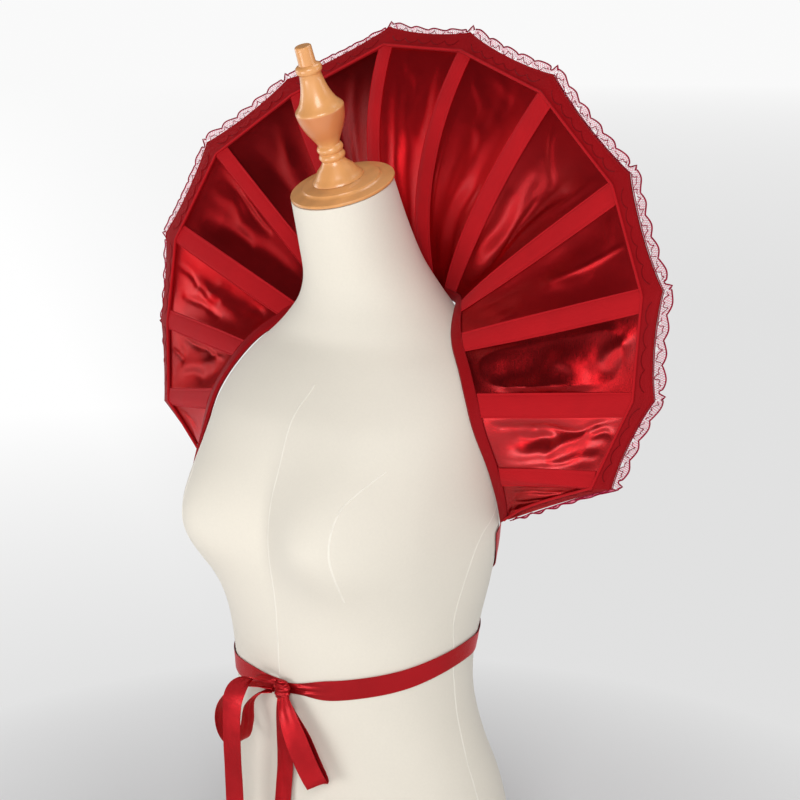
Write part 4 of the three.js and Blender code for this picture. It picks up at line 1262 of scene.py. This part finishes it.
class COLLAR_OT_waist_ties(bpy.types.Operator):
    """Lay the ties round the form"""
    bl_idname = "collar.waist_ties"
    bl_label = "Waist ties"

    def execute(self, context):
        ribbon = satin_finish("Satin ribbon", context.scene.collar.ribbon_colour, 0.32, 0.8)
        for side_name, route in TIE_ROUTES.items():
            piece, length = tie_piece(side_name, route)
            finish_piece(piece, ribbon, "ribbon", f"tie_{side_name}")
        return {"FINISHED"}


def smooth_line(rows):
    """A smooth curve through the rows' middle points, read at a place."""
    points = [Vector(row[:3]) for row in rows]

    def point(place):
        i = int(clamp(math.floor(place), 0, len(points) - 2))
        t = place - i
        p0 = points[i - 1] if i > 0 else points[0] * 2 - points[1]
        p3 = points[i + 2] if i + 2 < len(points) else points[-1] * 2 - points[-2]
        p1, p2 = points[i], points[i + 1]
        return (p1 * 2 + (p2 - p0) * t + (p0 * 2 - p1 * 5 + p2 * 4 - p3) * t * t
                + (p1 * 3 - p0 - p2 * 3 + p3) * t ** 3) / 2

    return point


def ribbon_piece(name, rows_table):
    table = placed(BOW_COLUMNS, rows_table)
    line = smooth_line(rows_table)
    rise = LOOP_RISE.get(name, 0)
    columns = 14
    last = len(rows_table) - 1
    rows = last * RIBBON_STEPS
    ways = run_lengths([line(i / RIBBON_STEPS) for i in range(rows + 1)])
    thin = RIBBON * 0.6

    def at(i, j, side):
        place = i / RIBBON_STEPS
        point = line(place)
        ahead = (line(min(place + 0.05, last)) - line(max(place - 0.05, 0))).normalized()
        width, width_turn = table.at(place, "width", "width_turn")
        turn = math.radians(width_turn)
        wide = Vector((math.cos(turn), math.sin(turn), rise))
        wide = (wide - ahead * wide.dot(ahead)).normalized()
        face = wide.cross(ahead).normalized()
        aside = j / columns - 0.5
        tight = clamp((RIBBON_WIDTH - width) / 12)
        fold = tight * math.sin(aside * math.pi * 5 + place) * 0.8
        soft = 0.5 * noise.noise(Vector((ways[i] / 22, aside * 2.2, len(name)))) * (1 - tight)
        return point + wide * (aside * width) + face * ((side - 0.5) * thin + fold + soft)

    return cloth_mesh(name + "_ribbon", rows, columns, at, ribbon_uv(columns, ways)), ways[-1]


def knot_piece():
    """The wrapped knot: a band of gathered ribbon drawn round the crossing."""
    rows, columns = 40, 24
    verts, uvs = [], []
    for i in range(rows + 1):
        polar = math.pi * clamp(i / rows, 0.02, 0.98)
        for j in range(columns):
            angle = 2 * math.pi * j / columns
            wide = math.sin(polar) ** 0.55
            crease = (1 + 0.1 * math.sin(polar * 11 + 2 * math.sin(angle))
                      + 0.06 * math.sin(angle * 4 + polar * 5))
            verts.append(Vector((
                KNOT["x"] + KNOT["half_width"] * wide * math.cos(angle) * crease,
                KNOT["y"] + KNOT["half_depth"] * wide * math.sin(angle) * crease,
                KNOT["z"] + KNOT["half_height"] * math.cos(polar))) * MM)
            uvs.append((angle / 10, polar / 10))
    return solid_mesh("bow_knot_ribbon", verts, uvs, ring_faces(rows, columns), 60)


class COLLAR_OT_waist_bow(bpy.types.Operator):
    """Tie the bow: knot, two loops and two tails"""
    bl_idname = "collar.waist_bow"
    bl_label = "Bow"

    def execute(self, context):
        ribbon = bpy.data.materials["Satin ribbon"]
        for name, rows in BOW.items():
            piece, length = ribbon_piece(name, rows)
            finish_piece(piece, ribbon, "ribbon", name)
        knot = knot_piece()
        finish_piece(knot, ribbon, "ribbon", "bow_knot")
        return {"FINISHED"}


# ------------------------------------------------------------------ the stage
def soft_light(name, turn, rise, away, size, power):
    light = bpy.data.lights.new(name, "AREA")
    light.shape = "RECTANGLE"
    light.size, light.size_y = size
    light.energy = power
    lamp = bpy.data.objects.new(name, light)
    flat = math.cos(math.radians(rise))
    out = Vector((math.sin(math.radians(turn)) * flat, -math.cos(math.radians(turn)) * flat,
                  math.sin(math.radians(rise))))
    lamp.visible_camera = False
    lamp.location = out * away + Vector((0, 0, LIT_HEIGHT))
    lamp.rotation_euler = (-out).to_track_quat("-Z", "Y").to_euler()
    bpy.context.collection.objects.link(lamp)


class COLLAR_OT_stage(bpy.types.Operator):
    """Set the camera, the floor with its backdrop and the soft lights"""
    bl_idname = "collar.stage"
    bl_label = "Stage"

    def execute(self, context):
        settings = context.scene.collar_stage
        camera_data = bpy.data.cameras.new("Camera")
        camera_data.lens = CAMERA["lens"]
        camera_data.sensor_width = CAMERA["sensor"]
        camera_data.clip_end = FLOOR_RADIUS
        camera = bpy.data.objects.new("Camera", camera_data)
        camera.location = CAMERA["place"]
        camera.rotation_euler = [math.radians(turn) for turn in CAMERA["turn"]]
        context.collection.objects.link(camera)
        context.scene.camera = camera

        bpy.ops.object.select_all(action="DESELECT")
        bpy.ops.mesh.primitive_circle_add(vertices=96, radius=FLOOR_RADIUS, fill_type="NGON",
                                          location=(0, 0, -0.0005))
        floor = context.object
        floor.name = "floor"
        floor.data.materials.append(floor_finish(settings.floor_colour))

        world = context.scene.world or bpy.data.worlds.new("World")
        context.scene.world = world
        world.use_nodes = True
        sky = world.node_tree.nodes["Background"]
        sky.inputs["Color"].default_value = (1, 1, 1, 1)
        seen = world.node_tree.nodes.new("ShaderNodeLightPath")
        strength = world.node_tree.nodes.new("ShaderNodeMapRange")
        strength.inputs["To Min"].default_value = settings.room_light
        strength.inputs["To Max"].default_value = BACKDROP
        world.node_tree.links.new(seen.outputs["Is Camera Ray"], strength.inputs["Value"])
        world.node_tree.links.new(strength.outputs[0], sky.inputs["Strength"])
        context.scene.view_settings.view_transform = "Standard"
        for name, turn, rise, away, size, share in LIGHTS:
            soft_light(name, turn, rise, away, size, settings.key_power * share)
        return {"FINISHED"}


# ------------------------------------------------------------------ the panel and the run
STEPS = [
    COLLAR_OT_stage, COLLAR_OT_dress_form, COLLAR_OT_turned_neck, COLLAR_OT_gores,
    COLLAR_OT_casing_tapes, COLLAR_OT_rim_and_binding, COLLAR_OT_lace_edging,
    COLLAR_OT_waist_ties, COLLAR_OT_waist_bow,
]


class COLLAR_PT_panel(bpy.types.Panel):
    """Lists the steps that dress the collar"""
    bl_idname = "COLLAR_PT_panel"
    bl_label = "High Stand Collar"
    bl_space_type = "VIEW_3D"
    bl_region_type = "UI"
    bl_category = "Collar"

    def draw(self, context):
        scene = context.scene
        for settings in (scene.collar_form, scene.collar, scene.collar_lace, scene.collar_stage):
            box = self.layout.box()
            for name in settings.__annotations__:
                box.prop(settings, name)
        for step in STEPS:
            self.layout.operator(step.bl_idname)


SETTINGS = {
    "collar_form": FormSettings, "collar": CollarSettings, "collar_lace": LaceSettings,
    "collar_stage": StageSettings,
}


def register():
    for settings in SETTINGS.values():
        bpy.utils.register_class(settings)
    for name, settings in SETTINGS.items():
        setattr(bpy.types.Scene, name, PointerProperty(type=settings))
    for step in STEPS:
        bpy.utils.register_class(step)
    bpy.utils.register_class(COLLAR_PT_panel)


def unregister():
    bpy.utils.unregister_class(COLLAR_PT_panel)
    for step in reversed(STEPS):
        bpy.utils.unregister_class(step)
    for name in SETTINGS:
        delattr(bpy.types.Scene, name)
    for settings in SETTINGS.values():
        bpy.utils.unregister_class(settings)


def main():
    register()
    for step in STEPS:
        group, name = step.bl_idname.split(".")
        getattr(getattr(bpy.ops, group), name)()


if __name__ == "__main__":
    main()
